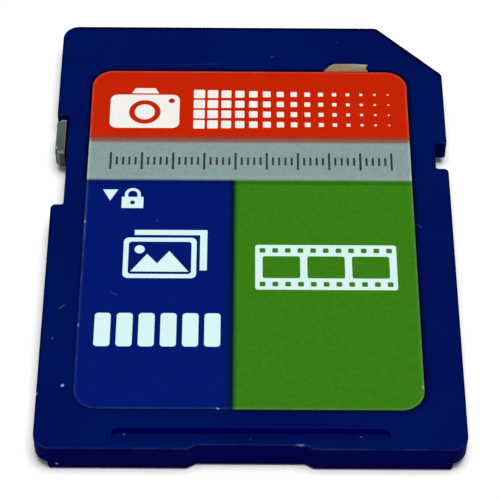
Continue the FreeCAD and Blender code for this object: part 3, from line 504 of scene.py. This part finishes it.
def labelFilm(name, settings):
    material, tree, surface = newMaterial(name)
    point = surfacePoint(tree)
    x, y = axes(tree, point)[:2]
    low, high = boxOf("front_label")
    wear = wearOf(tree, point, settings)

    def beyond(axis, key):
        start, spread = settings[key]
        return fade(tree, axis, start - spread, start + spread)

    def line(axis, key):
        middle, half, strength, core = settings[key]
        away = calc(tree, "ABSOLUTE", calc(tree, "SUBTRACT", axis, middle))
        return fade(tree, away, core * half, half, strength, 0.0)

    shade = mixColour(tree, beyond(x, "greenFrom"), settings["blue"], settings["green"])
    shade = mixColour(tree, line(x, "darkLine"), shade, settings["dark"])
    shade = mixColour(tree, line(y, "bandShade"), shade, black)
    shade = mixColour(tree, beyond(y, "bandFrom"), shade, settings["grey"])
    shade = mixColour(tree, beyond(y, "redFrom"), shade, settings["red"])
    shade = mixColour(tree, line(y, "bandGleam"), shade, settings["gleam"])
    shade = mixColour(tree, line(y, "overlapLine"), shade, settings["overlap"])
    speckle = noise(tree, point, *settings["speckle"])
    dots = fade(tree, speckle, *settings["speckleFrom"], settings["speckleShare"], 0.0)
    shade = mixColour(tree, dots, shade, black)
    reach = outlineReach(tree, point, (low + high) / 2, (high - low) / 2, settings["cornerRadius"])
    edge = fade(tree, reach, *(-inset for inset in settings["edge"]))
    patches = noise(tree, point, *settings["edgePatches"])
    patchy = fade(tree, patches, *settings["patchFrom"], *settings["edgeShare"])
    band = calc(tree, "SUBTRACT", beyond(y, "bandFrom"), beyond(y, "redFrom"))
    patchy = times(tree, patchy, between(tree, band, 1.0, settings["bandEdge"]))
    start, end, share = settings["blueEdge"]
    patchy = times(tree, patchy, most(tree, beyond(x, "greenFrom"), fade(tree, y, start, end, share, 1.0)))
    bare = most(tree, times(tree, edge, patchy), marksOf(tree, point, settings["nicks"]))
    bare = most(tree, bare, times(tree, wear["Scratch"], settings["scratchShare"]))
    shade = mixColour(tree, bare, shade, settings["film"])
    gloss = between(tree, wear["Smudge"], *settings["roughness"])
    bump = relief(tree, speckle, settings["speckleDepth"])
    dress(tree, surface, shade, gloss, bump, settings["specular"])
    return material


# torn paper scrap

residueFinish = {
    "tan": colour(0.316, 0.252, 0.147),
    "amber": colour(0.324, 0.19, 0.076),
    "amberTo": 0.15,  # it ends this far short of the far edge
    "pale": colour(0.46, 0.44, 0.36),
    "paleFrom": (1.2, 0.25),  # it starts this far in from the left and near edges
    "stain": colour(0.12, 0.075, 0.035),
    "stainFrom": (0.35, 0.75),
    "stainShare": 0.45,
    "fibres": (3.2, 5.0, 0.7),
    "fibreStretch": (1.0, 3.0, 1.0),
    "fibreTurn": 12.0,
    "fibreDepth": 0.02,
    "roughness": (0.75, 0.95),
    "specular": 0.1,
}


def paperResidue(name, settings):
    material, tree, surface = newMaterial(name)
    point = surfacePoint(tree)
    x, y = axes(tree, point)[:2]
    low, high = boxOf("sticker_residue")
    along = stretched(tree, point, settings["fibreStretch"], settings["fibreTurn"])
    fibres = noise(tree, along, *settings["fibres"])
    stain = fade(tree, fibres, *settings["stainFrom"], 0.0, settings["stainShare"])
    tan = fade(tree, y, low.y, high.y - settings["amberTo"])
    inX, inY = settings["paleFrom"]
    torn = times(tree, fade(tree, x, low.x + inX, high.x), fade(tree, y, low.y + inY, high.y))
    shade = mixColour(tree, tan, settings["amber"], settings["tan"])
    shade = mixColour(tree, torn, shade, settings["pale"])
    shade = mixColour(tree, stain, shade, settings["stain"])
    gloss = overGrain(tree, fibres, *settings["roughness"])
    bump = relief(tree, fibres, settings["fibreDepth"])
    dress(tree, surface, shade, gloss, bump, settings["specular"])
    return material


# circuit board and its parts

boardFinish = {
    "mask": colour(0.012, 0.09, 0.022),
    "weave": colour(0.03, 0.15, 0.04),
    "pitch": 0.42,  # of the glass cloth
    "clothFrom": (-0.6, 0.6),
    "weaveShare": 0.3,
    "trace": colour(0.035, 0.2, 0.05),
    "traceStretch": (1.9, 0.05, 1.0),
    "traceFrom": (0.56, 0.6),
    "traceShare": 0.5,
    "mottle": colour(0.006, 0.05, 0.012),
    "mottleShare": 0.25,
    "grain": 5.0,
    "heights": (0.8, 0.15),  # of the traces and the cloth, as shares of the depth
    "depth": 0.012,
    "roughness": (0.3, 0.42),
    "specular": 0.4,
}


def boardLaminate(name, settings):
    material, tree, surface = newMaterial(name)
    point = surfacePoint(tree)
    grain = grainOf(tree, point, settings)
    warp, weft = (calc(tree, "SINE", times(tree, axis, 2 * math.pi / settings["pitch"]))
                  for axis in axes(tree, point)[:2])
    cloth = fade(tree, times(tree, warp, weft), *settings["clothFrom"])
    strips = noise(tree, stretched(tree, point, settings["traceStretch"]), 1.0, 0.0)
    trace = fade(tree, strips, *settings["traceFrom"])
    shade = settings["mask"]
    for mask, key in ((cloth, "weave"), (trace, "trace"), (grain["Mottle"], "mottle")):
        shade = mixColour(tree, times(tree, mask, settings[key + "Share"]), shade, settings[key])
    traceHigh, clothHigh = settings["heights"]
    height = calc(tree, "ADD", times(tree, trace, traceHigh), times(tree, cloth, clothHigh))
    gloss = overGrain(tree, grain["Height"], *settings["roughness"])
    bump = relief(tree, height, settings["depth"])
    dress(tree, surface, shade, gloss, bump, settings["specular"])
    return material


goldFinish = {
    "gold": colour(0.9, 0.56, 0.16),
    "worn": colour(0.76, 0.49, 0.2),
    "wiped": colour(0.97, 0.72, 0.34),
    "wipes": (1.0, 2.0, 0.6),  # strokes along the insertion way
    "wipeStretch": (9.0, 0.22, 1.0),
    "wipedFrom": (0.58, 0.68),
    "glossFrom": (0.35, 0.7),
    "roughness": (0.32, 0.16),
    "grain": 11.0,
    "grainShare": 0.5,
    "depth": 0.0015,
}


def contactGold(name, settings):
    material, tree, surface = newMaterial(name)
    point = surfacePoint(tree)
    grain = grainOf(tree, point, settings)
    wipes = noise(tree, stretched(tree, point, settings["wipeStretch"]), *settings["wipes"])
    shade = mixColour(tree, grain["Mottle"], settings["gold"], settings["worn"])
    shade = mixColour(tree, fade(tree, wipes, *settings["wipedFrom"]), shade, settings["wiped"])
    height = calc(tree, "ADD", wipes, times(tree, grain["Height"], settings["grainShare"]))
    gloss = fade(tree, wipes, *settings["glossFrom"], *settings["roughness"])
    bump = relief(tree, height, settings["depth"])
    dress(tree, surface, shade, gloss, bump, metallic=1.0)
    return material


chipFinish = {
    "black": colour(0.012, 0.012, 0.013),
    "dusty": colour(0.032, 0.031, 0.03),
    "scratch": colour(0.08, 0.08, 0.08),
    "scratchShare": 0.3,
    "sparse": 0.72,
    "grain": 8.0,
    "grainDepth": 0.006,
    "roughness": (0.6, 0.78),
    "specular": 0.35,
}


def chipMoulding(name, settings):
    material, tree, surface = newMaterial(name)
    point = surfacePoint(tree)
    grain = grainOf(tree, point, settings)
    wear = wearOf(tree, point, settings)
    scratch = times(tree, wear["Scratch"], settings["scratchShare"])
    shade = mixColour(tree, grain["Height"], settings["black"], settings["dusty"])
    shade = mixColour(tree, scratch, shade, settings["scratch"])
    gloss = between(tree, grain["Mottle"], *settings["roughness"])
    bump = relief(tree, grain["Height"], settings["grainDepth"])
    dress(tree, surface, shade, gloss, bump, settings["specular"])
    return material


tinFinish = {"tin": colour(0.62, 0.63, 0.62), "dull": colour(0.42, 0.43, 0.43), "grain": 14.0,
             "grainDepth": 0.002, "roughness": (0.42, 0.26)}


def leadTin(name, settings):
    material, tree, surface = newMaterial(name)
    point = surfacePoint(tree)
    grain = grainOf(tree, point, settings)
    shade = mixColour(tree, grain["Height"], settings["dull"], settings["tin"])
    gloss = overGrain(tree, grain["Height"], *settings["roughness"])
    bump = relief(tree, grain["Height"], settings["grainDepth"])
    dress(tree, surface, shade, gloss, bump, metallic=1.0)
    return material


# chip resistors and capacitors: cap is each tinned cap's share of the length

resistorFinish = {"body": colour(0.016, 0.016, 0.018), "ceramic": colour(0.6, 0.6, 0.57), "cap": 0.24}
capacitorFinish = {"body": colour(0.3, 0.17, 0.07), "ceramic": colour(0.34, 0.2, 0.09), "cap": 0.26}
partFinish = {
    "tin": colour(0.58, 0.58, 0.57),
    "border": 0.01,  # half the width of the caps' borders
    "coat": (0.05, 0.02),  # the body's colour starts this far below the top
    "speckle": colour(0.05, 0.04, 0.035),
    "speckleFrom": (0.3, 0.8),
    "speckleShare": 0.3,
    "grain": 12.0,
    "grainDepth": 0.004,
    "roughness": (0.5, 0.32),
}


def chipPart(node, kind, settings):  # a ceramic body between two tinned caps
    material, tree, surface = newMaterial(node + ".finish")
    point = surfacePoint(tree)
    at = axes(tree, point)
    low, high = boxOf(node)
    middle, half = (low + high) / 2, (high - low) / 2
    long = 0 if half.x > half.y else 1
    away = calc(tree, "ABSOLUTE", calc(tree, "SUBTRACT", at[long], middle[long]))
    start = half[long] * (1 - 2 * kind["cap"])
    cap = fade(tree, away, start - settings["border"], start + settings["border"])
    grain = grainOf(tree, point, settings)
    coat = fade(tree, at[2], *(high.z - depth for depth in settings["coat"]))
    speckle = fade(tree, grain["Height"], *settings["speckleFrom"], 0.0, settings["speckleShare"])
    shade = mixColour(tree, coat, kind["ceramic"], kind["body"])
    shade = mixColour(tree, speckle, shade, settings["speckle"])
    shade = mixColour(tree, cap, shade, settings["tin"])
    gloss = overGrain(tree, grain["Height"], *settings["roughness"])
    bump = relief(tree, grain["Height"], settings["grainDepth"])
    dress(tree, surface, shade, gloss, bump, metallic=cap)
    return material


finishes = {
    "cover_plastic": coverPlastic("navyPlastic", coverFinish),
    "slider_plastic": sliderPlastic("greyPlastic", sliderFinish),
    "label_print": labelFilm("labelFilm", labelFinish),
    "residue_paper": paperResidue("paperScrap", residueFinish),
    "board_laminate": boardLaminate("boardLaminate", boardFinish),
    "contact_gold": contactGold("contactGold", goldFinish),
    "chip_moulding": chipMoulding("chipMoulding", chipFinish),
    "lead_tin": leadTin("leadTin", tinFinish),
}
for nodeName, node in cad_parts.items():
    slot = node.material_slots[0]
    if nodeName.startswith("resistor"):
        slot.material = chipPart(nodeName, resistorFinish, partFinish)
    elif nodeName.startswith("capacitor"):
        slot.material = chipPart(nodeName, capacitorFinish, partFinish)
    else:
        slot.material = finishes[slot.material.name]
print("finishes placed,", len(bpy.data.materials), "materials")


# ink on the label

inkFinish = {
    "white": colour(0.71, 0.93, 0.93),
    "warm": colour(0.92, 0.9, 0.85),
    "black": colour(0.004, 0.008, 0.02),
    "depth": 0.01,  # of the layer of ink
    "sunk": 0.002,  # how far it lies in the label, so that no gap shows
    "speckle": (6.5, 2.0, 0.7),
    "speckleFrom": (0.35, 0.8),
    "thin": colour(0.3, 0.36, 0.4),
    "thinShare": 0.1,
    "grain": 3.0,
    "faded": colour(0.4, 0.42, 0.42),
    "fadedShare": 0.05,
    "speckleDepth": 0.001,
    "roughness": (0.42, 0.52),
    "specular": 0.05,
}


def printInk(name, tint, settings):
    material, tree, surface = newMaterial(name)
    point = surfacePoint(tree)
    speckle = noise(tree, point, *settings["speckle"])
    grain = grainOf(tree, point, settings)
    thin = fade(tree, speckle, *settings["speckleFrom"], 0.0, settings["thinShare"])
    shade = mixColour(tree, thin, tint, settings["thin"])
    shade = mixColour(tree, times(tree, grain["Mottle"], settings["fadedShare"]), shade, settings["faded"])
    gloss = overGrain(tree, speckle, *settings["roughness"])
    bump = relief(tree, speckle, settings["speckleDepth"])
    dress(tree, surface, shade, gloss, bump, settings["specular"])
    return material


whiteInk = printInk("whiteInk", inkFinish["white"], inkFinish)
warmInk = printInk("warmWhiteInk", inkFinish["warm"], inkFinish)
blackInk = printInk("blackInk", inkFinish["black"], inkFinish)
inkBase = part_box("front_label")[1].z - inkFinish["sunk"] * mm


def newObject(name, data):
    made = bpy.data.objects.new(name, data)
    bpy.context.scene.collection.objects.link(made)
    return made


def plainMesh(maker):  # what an object's curve or modifiers make of it
    shown = maker.evaluated_get(bpy.context.evaluated_depsgraph_get())
    return bpy.data.meshes.new_from_object(shown)


def settle(piece, ink, middle):  # inks a printed mesh, places it on the label and lets it ride
    piece.data.materials.clear()
    piece.data.materials.append(ink)
    shape = bmesh.new()
    shape.from_mesh(piece.data)
    bmesh.ops.remove_doubles(shape, verts=shape.verts, dist=weld)
    bmesh.ops.recalc_face_normals(shape, faces=shape.faces)
    bottom = min(vertex.co.z for vertex in shape.verts)
    bmesh.ops.translate(shape, verts=shape.verts, vec=(middle[0] * mm, middle[1] * mm, inkBase - bottom))
    shape.to_mesh(piece.data)
    shape.free()
    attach(piece, "case")


def pictogram(name, outlines, ink, middle):  # an outline inside another is a hole
    curve = bpy.data.curves.new(name + ".curve", "CURVE")
    curve.dimensions = "2D"
    curve.fill_mode = "BOTH"
    curve.extrude = inkFinish["depth"] * mm / 2
    for outline in outlines:
        spline = curve.splines.new("POLY")
        spline.points.add(len(outline) - 1)
        for point, (x, y) in zip(spline.points, outline):
            point.co = (x * mm, y * mm, 0.0, 1.0)
        spline.use_cyclic_u = True
    maker = newObject(name + ".maker", curve)
    mesh = plainMesh(maker)
    bpy.data.objects.remove(maker)
    settle(newObject(name, mesh), ink, middle)


def roundBox(width, height, radius, steps=6):
    points = []
    for turn, (sideX, sideY) in enumerate(((1, 1), (-1, 1), (-1, -1), (1, -1))):
        for step in range(steps + 1):
            angle = math.pi / 2 * (turn + step / steps)
            points.append((sideX * (width / 2 - radius) + radius * math.cos(angle),
                           sideY * (height / 2 - radius) + radius * math.sin(angle)))
    return points


def disc(x, y, radius, steps=40):
    angles = (2 * math.pi * step / steps for step in range(steps))
    return [(x + radius * math.cos(angle), y + radius * math.sin(angle)) for angle in angles]


def arch(foot, radius, steps=20):  # two upright legs and a half round
    angles = (math.pi * step / steps for step in range(steps + 1))
    over = [(radius * math.cos(angle), foot + radius * math.sin(angle)) for angle in angles]
    return [(over[0][0], 0.0), *over, (over[-1][0], 0.0)]


# lock legend: an arrow towards the locked end and a closed padlock

legend = {"arrow": (-8.45, 2.0), "arrowWidth": 0.92, "arrowHeight": 0.86, "padlock": (-7.1, 1.86),
          "bodyWidth": 1.3, "bodyHeight": 0.86, "shackle": (0.48, 0.28), "leg": 0.2, "keyhole": 0.15,
          "keyholeSteps": 20}


def lockLegend(settings):
    wide, high = settings["arrowWidth"] / 2, settings["arrowHeight"] / 2
    pictogram("legend_arrow", [[(-wide, high), (0.0, -high), (wide, high)]], whiteInk, settings["arrow"])
    half, drop = settings["bodyWidth"] / 2, settings["bodyHeight"]
    outer, inner = (arch(settings["leg"], radius) for radius in settings["shackle"])
    outline = [(-half, -drop), (half, -drop), (half, 0.0), *outer, (-half, 0.0)]
    keyhole = disc(0.0, -drop / 2, settings["keyhole"], settings["keyholeSteps"])
    pictogram("legend_padlock", [outline, inner, keyhole], whiteInk, settings["padlock"])


lockLegend(legend)

# picture pictogram: a framed hill and sun with a second print behind it

picture = {"at": (-5.35, -2.75), "width": 4.3, "height": 3.0, "border": 0.3,
           "corner": 0.32, "innerCorner": 0.2,
           "hill": [(-1.7, -1.02), (-0.75, 0.28), (-0.15, -0.42), (0.55, 0.5), (1.7, -1.02)],
           "sun": (-1.2, 0.62, 0.3, 28),  # middle, radius and steps
           "behind": (0.62, 0.58), "gap": 0.2}


def picturePictogram(settings):
    wide, high, border = settings["width"] / 2, settings["height"] / 2, settings["border"]
    stepX, stepY = settings["behind"]
    gap = settings["gap"]
    outlines = [
        roundBox(2 * wide, 2 * high, settings["corner"]),
        roundBox(2 * (wide - border), 2 * (high - border), settings["innerCorner"]),
        settings["hill"],
        disc(*settings["sun"]),
        [(-wide + stepX, high + gap), (-wide + stepX, high + stepY), (wide + stepX, high + stepY),
         (wide + stepX, -high + stepY), (wide + gap, -high + stepY), (wide + gap, high + gap)],
    ]
    pictogram("picture_pictogram", outlines, whiteInk, settings["at"])


picturePictogram(picture)

# camera pictogram on the red field

camera = {"at": (-6.6, 8.75), "width": 4.3, "height": 2.75, "corner": 0.45,
          "lensAt": (0.0, -0.06), "lens": 0.98, "glass": 0.62,
          "button": (0.5, 0.2, 20),  # in from the corner, radius and steps
          "hump": (0.85, 0.62, 0.12, 0.55)}  # half widths below and above, and heights over the body


def cameraPictogram(settings):
    wide, high = settings["width"] / 2, settings["height"] / 2
    lower, upper, foot, crown = settings["hump"]
    inset, radius, steps = settings["button"]
    outlines = [
        roundBox(2 * wide, 2 * high, settings["corner"]),
        disc(*settings["lensAt"], settings["lens"]),
        disc(*settings["lensAt"], settings["glass"]),
        disc(wide - inset, high - inset, radius, steps),
        [(-lower, high + foot), (-upper, high + crown), (upper, high + crown), (lower, high + foot)],
    ]
    pictogram("camera_pictogram", outlines, warmInk, settings["at"])


cameraPictogram(camera)
print("pictograms printed")


# what repeats on the label is made with Geometry Nodes

def newGeometryTree(name, inputs):
    tree = bpy.data.node_groups.new(name, "GeometryNodeTree")
    for socketName, kind in inputs.items():
        tree.interface.new_socket(name=socketName, in_out="INPUT", socket_type="NodeSocket" + kind)
    tree.interface.new_socket(name="Geometry", in_out="OUTPUT", socket_type="NodeSocketGeometry")
    return tree, tree.nodes.new("NodeGroupInput").outputs, tree.nodes.new("NodeGroupOutput").inputs


def joined(tree, parts):
    whole = addNode(tree, "GeometryNodeJoinGeometry")
    for part in parts:
        tree.links.new(part, whole.inputs[0])
    return whole.outputs[0]


def makeInkSolid():  # a flat outline raised to a closed layer of ink
    tree, given, made = newGeometryTree("inkSolid", {"Outline": "Geometry", "Depth": "Float"})
    flat = addNode(tree, "GeometryNodeFillCurve", {"Curve": given["Outline"]}).outputs[0]
    up = addNode(tree, "ShaderNodeCombineXYZ", {"Z": given["Depth"]}).outputs[0]
    inputs = {"Mesh": flat, "Offset": up, "Individual": False}
    raised = addNode(tree, "GeometryNodeExtrudeMesh", inputs).outputs[0]
    under = addNode(tree, "GeometryNodeFlipFaces", {"Mesh": flat}).outputs[0]
    inputs = {"Geometry": joined(tree, (raised, under)), "Distance": weld}
    closed = addNode(tree, "GeometryNodeMergeByDistance", inputs).outputs[0]
    tree.links.new(closed, made[0])
    return tree


inkSolid = makeInkSolid()
cornerSteps = 5  # points on each round corner


def roundQuad(tree, width, height, radius):
    inputs = {"Width": width, "Height": height}
    quad = addNode(tree, "GeometryNodeCurvePrimitiveQuadrilateral", inputs).outputs[0]
    inputs = {"Curve": quad, "Radius": radius, "Count": cornerSteps, "Limit Radius": True}
    return addNode(tree, "GeometryNodeFilletCurve", inputs, mode="POLY").outputs[0]


def solidOf(tree, outline, depth):
    return addNode(tree, "GeometryNodeGroup", {0: outline, 1: depth}, node_tree=inkSolid).outputs[0]


def centredLine(tree, count, pitch, y=0.0):  # points along X, middle at 0
    gaps = calc(tree, "SUBTRACT", count, 1.0)
    startX = times(tree, times(tree, gaps, pitch), -0.5)
    start = addNode(tree, "ShaderNodeCombineXYZ", {"X": startX, "Y": y}).outputs[0]
    step = addNode(tree, "ShaderNodeCombineXYZ", {"X": pitch}).outputs[0]
    inputs = {"Count": count, "Start Location": start, "Offset": step}
    return addNode(tree, "GeometryNodeMeshLine", inputs).outputs[0]


def onPoints(tree, points, instance, size=(1.0, 1.0, 1.0)):
    inputs = {"Points": points, "Instance": instance, "Scale": size}
    return addNode(tree, "GeometryNodeInstanceOnPoints", inputs).outputs[0]


def realized(tree, geometry):
    return addNode(tree, "GeometryNodeRealizeInstances", {0: geometry}).outputs[0]


def printRow(name, build, settings, ink):  # every setting but its place is an input of the tree
    values = {"Depth": inkFinish["depth"] * mm}
    for key, value in settings.items():
        if key != "At":  # counts and shares go in as they are
            values[key] = value if isinstance(value, int) or "share" in key else value * mm
    kinds = {key: "Int" if isinstance(value, int) else "Float" for key, value in values.items()}
    tree, given, made = newGeometryTree(name, kinds)
    inputs = {"Geometry": realized(tree, build(tree, given)), "Material": ink}
    tree.links.new(addNode(tree, "GeometryNodeSetMaterial", inputs).outputs[0], made[0])
    piece = newObject(name, bpy.data.meshes.new(name + ".seed"))
    modifier = piece.modifiers.new("nodes", "NODES")
    modifier.node_group = tree
    for item in tree.interface.items_tree:
        if item.in_out == "INPUT":
            modifier[item.identifier] = values[item.name]
    mesh = plainMesh(piece)
    piece.modifiers.clear()
    piece.data = mesh
    settle(piece, ink, settings["At"])


# graduated scale on the grey band: every fifth mark is tall

scaleRow = {"At": (0.0, 4.72), "Count": 46, "Every": 5, "Pitch": 0.38, "Width": 0.13, "Short": 0.62,
            "Tall": 1.35, "Corner": 0.02}


def scaleMarks(tree, given):
    points = centredLine(tree, given["Count"], given["Pitch"])
    mark = solidOf(tree, roundQuad(tree, given["Width"], given["Short"], given["Corner"]), given["Depth"])
    index = addNode(tree, "GeometryNodeInputIndex").outputs[0]
    tall = calc(tree, "LESS_THAN", calc(tree, "MODULO", index, given["Every"]), 0.5)
    taller = calc(tree, "SUBTRACT", calc(tree, "DIVIDE", given["Tall"], given["Short"]), 1.0)
    grow = calc(tree, "ADD", times(tree, tall, taller), 1.0)
    size = addNode(tree, "ShaderNodeCombineXYZ", {"X": 1.0, "Y": grow, "Z": 1.0}).outputs[0]
    return onPoints(tree, points, mark, size)


printRow("graduated_scale", scaleMarks, scaleRow, blackInk)

# block gauge on the blue field

gauge = {"At": (-5.35, -7.95), "Count": 6, "Pitch": 1.26, "Width": 0.92, "Height": 2.35, "Corner": 0.2}


def gaugeBlocks(tree, given):
    block = solidOf(tree, roundQuad(tree, given["Width"], given["Height"], given["Corner"]), given["Depth"])
    return onPoints(tree, centredLine(tree, given["Count"], given["Pitch"]), block)


printRow("block_gauge", gaugeBlocks, gauge, whiteInk)

# squares that shrink to the right on the red field

sweep = {"At": (2.65, 8.95), "Columns": 15, "Rows": 4, "Pitch": 0.84, "Size": 0.7, "Corner": 0.08,
         "Least share": 0.14}


def sweepSquares(tree, given):
    wide, high = (times(tree, calc(tree, "SUBTRACT", given[key], 1.0), given["Pitch"])
                  for key in ("Columns", "Rows"))
    inputs = {"Size X": wide, "Size Y": high, "Vertices X": given["Columns"], "Vertices Y": given["Rows"]}
    grid = addNode(tree, "GeometryNodeMeshGrid", inputs).outputs[0]
    square = solidOf(tree, roundQuad(tree, given["Size"], given["Size"], given["Corner"]), given["Depth"])
    across = axes(tree, addNode(tree, "GeometryNodeInputPosition").outputs[0])[0]
    half = times(tree, wide, 0.5)
    inputs = {0: across, 1: times(tree, half, -1.0), 2: half, 3: 1.0, 4: given["Least share"]}
    share = addNode(tree, "ShaderNodeMapRange", inputs).outputs[0]
    size = addNode(tree, "ShaderNodeCombineXYZ", {"X": share, "Y": share, "Z": 1.0}).outputs[0]
    return onPoints(tree, grid, square, size)


printRow("shrinking_squares", sweepSquares, sweep, warmInk)

# film strip on the green field

strip = {"At": (4.4, -3.4), "Length": 8.3, "Breadth": 3.3, "Corner": 0.16, "Frames": 3, "Frame pitch": 2.62,
         "Frame width": 2.2, "Frame height": 1.62, "Frame corner": 0.14, "Holes": 11, "Hole pitch": 0.745,
         "Hole size": 0.34, "Hole corner": 0.07, "Hole row": 1.24}


def filmStrip(tree, given):
    window = roundQuad(tree, given["Frame width"], given["Frame height"], given["Frame corner"])
    hole = roundQuad(tree, given["Hole size"], given["Hole size"], given["Hole corner"])
    cuts = [onPoints(tree, centredLine(tree, given["Frames"], given["Frame pitch"]), window)]
    for side in (1.0, -1.0):
        row = centredLine(tree, given["Holes"], given["Hole pitch"], times(tree, given["Hole row"], side))
        cuts.append(onPoints(tree, row, hole))
    edge = roundQuad(tree, given["Length"], given["Breadth"], given["Corner"])
    outlines = joined(tree, [edge] + [realized(tree, cut) for cut in cuts])
    return solidOf(tree, outlines, given["Depth"])


printRow("film_strip", filmStrip, strip, whiteInk)
print("repeating print made")


# studio, in metres: a floor that curves up at its rim, one soft lamp and an even surround

studio = {"flat": 0.42, "rim": 0.62, "rise": 0.1, "steps": 14, "sides": 96,
          "bounce": colour(0.8, 0.8, 0.8),  # the floor as the card is lit by it
          "seen": colour(1.12, 1.12, 1.12),  # the floor as it is seen, white away from the card
          "surround": 0.2}


def directlySeen(tree):
    rays = addNode(tree, "ShaderNodeLightPath").outputs
    seen = calc(tree, "ADD", rays["Is Camera Ray"], rays["Is Glossy Ray"])
    return calc(tree, "ADD", seen, rays["Is Transmission Ray"], clamp=True)


def floorMaterial(settings):
    material, tree, surface = newMaterial("floorWhite", "ShaderNodeBsdfDiffuse")
    shade = mixColour(tree, directlySeen(tree), settings["bounce"], settings["seen"])
    setInputs(tree, surface, {"Color": shade})
    return material


def studioFloor(settings):
    shape = bmesh.new()
    profile = [(settings["flat"], 0.0)]
    for step in range(1, settings["steps"] + 1):
        angle = math.pi / 2 * step / settings["steps"]
        profile.append((settings["flat"] + (settings["rim"] - settings["flat"]) * math.sin(angle),
                        settings["rise"] * (1 - math.cos(angle))))
    angles = [2 * math.pi * side / settings["sides"] for side in range(settings["sides"])]
    rings = [[shape.verts.new((radius * math.cos(angle), radius * math.sin(angle), height))
              for angle in angles] for radius, height in profile]
    shape.faces.new(rings[0])
    for inner, outer in zip(rings, rings[1:]):
        for side in range(settings["sides"]):
            after = (side + 1) % settings["sides"]
            shape.faces.new((inner[side], outer[side], outer[after], inner[after]))
    for face in shape.faces:
        face.smooth = True
    mesh = bpy.data.meshes.new("studio_floor")
    shape.to_mesh(mesh)
    shape.free()
    mesh.materials.append(floorMaterial(settings))
    newObject("studio_floor", mesh)


studioFloor(studio)

overhead = {"at": (0.022, -0.03, 0.4), "aim": (0.0, 0.0, 0.0), "size": 0.27, "power": 1.42}


def softLamp(name, settings):
    light = bpy.data.lights.new(name, "AREA")
    light.shape = "DISK"
    light.size = settings["size"]
    light.energy = settings["power"]
    lamp = newObject(name, light)
    lamp.location = settings["at"]
    aim = Vector(settings["aim"]) - Vector(settings["at"])
    lamp.rotation_euler = aim.to_track_quat("-Z", "Y").to_euler()


softLamp("overhead_lamp", overhead)


def evenSurround(settings):
    world = bpy.data.worlds.new("surround")
    world.use_nodes = True
    tree = world.node_tree
    strength = between(tree, directlySeen(tree), settings["surround"], 1.0)
    setInputs(tree, tree.nodes["Background"], {"Color": colour(1.0, 1.0, 1.0), "Strength": strength})
    bpy.context.scene.world = world


evenSurround(studio)
bpy.context.scene.view_settings.view_transform = "Standard"

shot = {"azimuth": -0.4029, "elevation": 51.984, "roll": 0.6296, "view": 13.6208,  # degrees
        "distance": 124.574, "target": (-0.052, -1.29, 1.0), "sensor": 36.0, "clip": (5.0, 5000.0)}


def shotCamera(settings):
    azimuth, elevation = math.radians(settings["azimuth"]), math.radians(settings["elevation"])
    back = Vector((math.sin(azimuth) * math.cos(elevation), -math.cos(azimuth) * math.cos(elevation),
                   math.sin(elevation)))
    lens = bpy.data.cameras.new("shot")
    lens.sensor_width = settings["sensor"]
    lens.angle = math.radians(settings["view"])
    lens.clip_start, lens.clip_end = (reach * mm for reach in settings["clip"])
    taker = newObject("shot", lens)
    taker.location = (Vector(settings["target"]) + back * settings["distance"]) * mm
    roll = Quaternion((0.0, 0.0, 1.0), math.radians(settings["roll"]))
    taker.rotation_mode = "QUATERNION"
    taker.rotation_quaternion = back.to_track_quat("Z", "Y") @ roll
    bpy.context.scene.camera = taker


shotCamera(shot)
print("studio set")
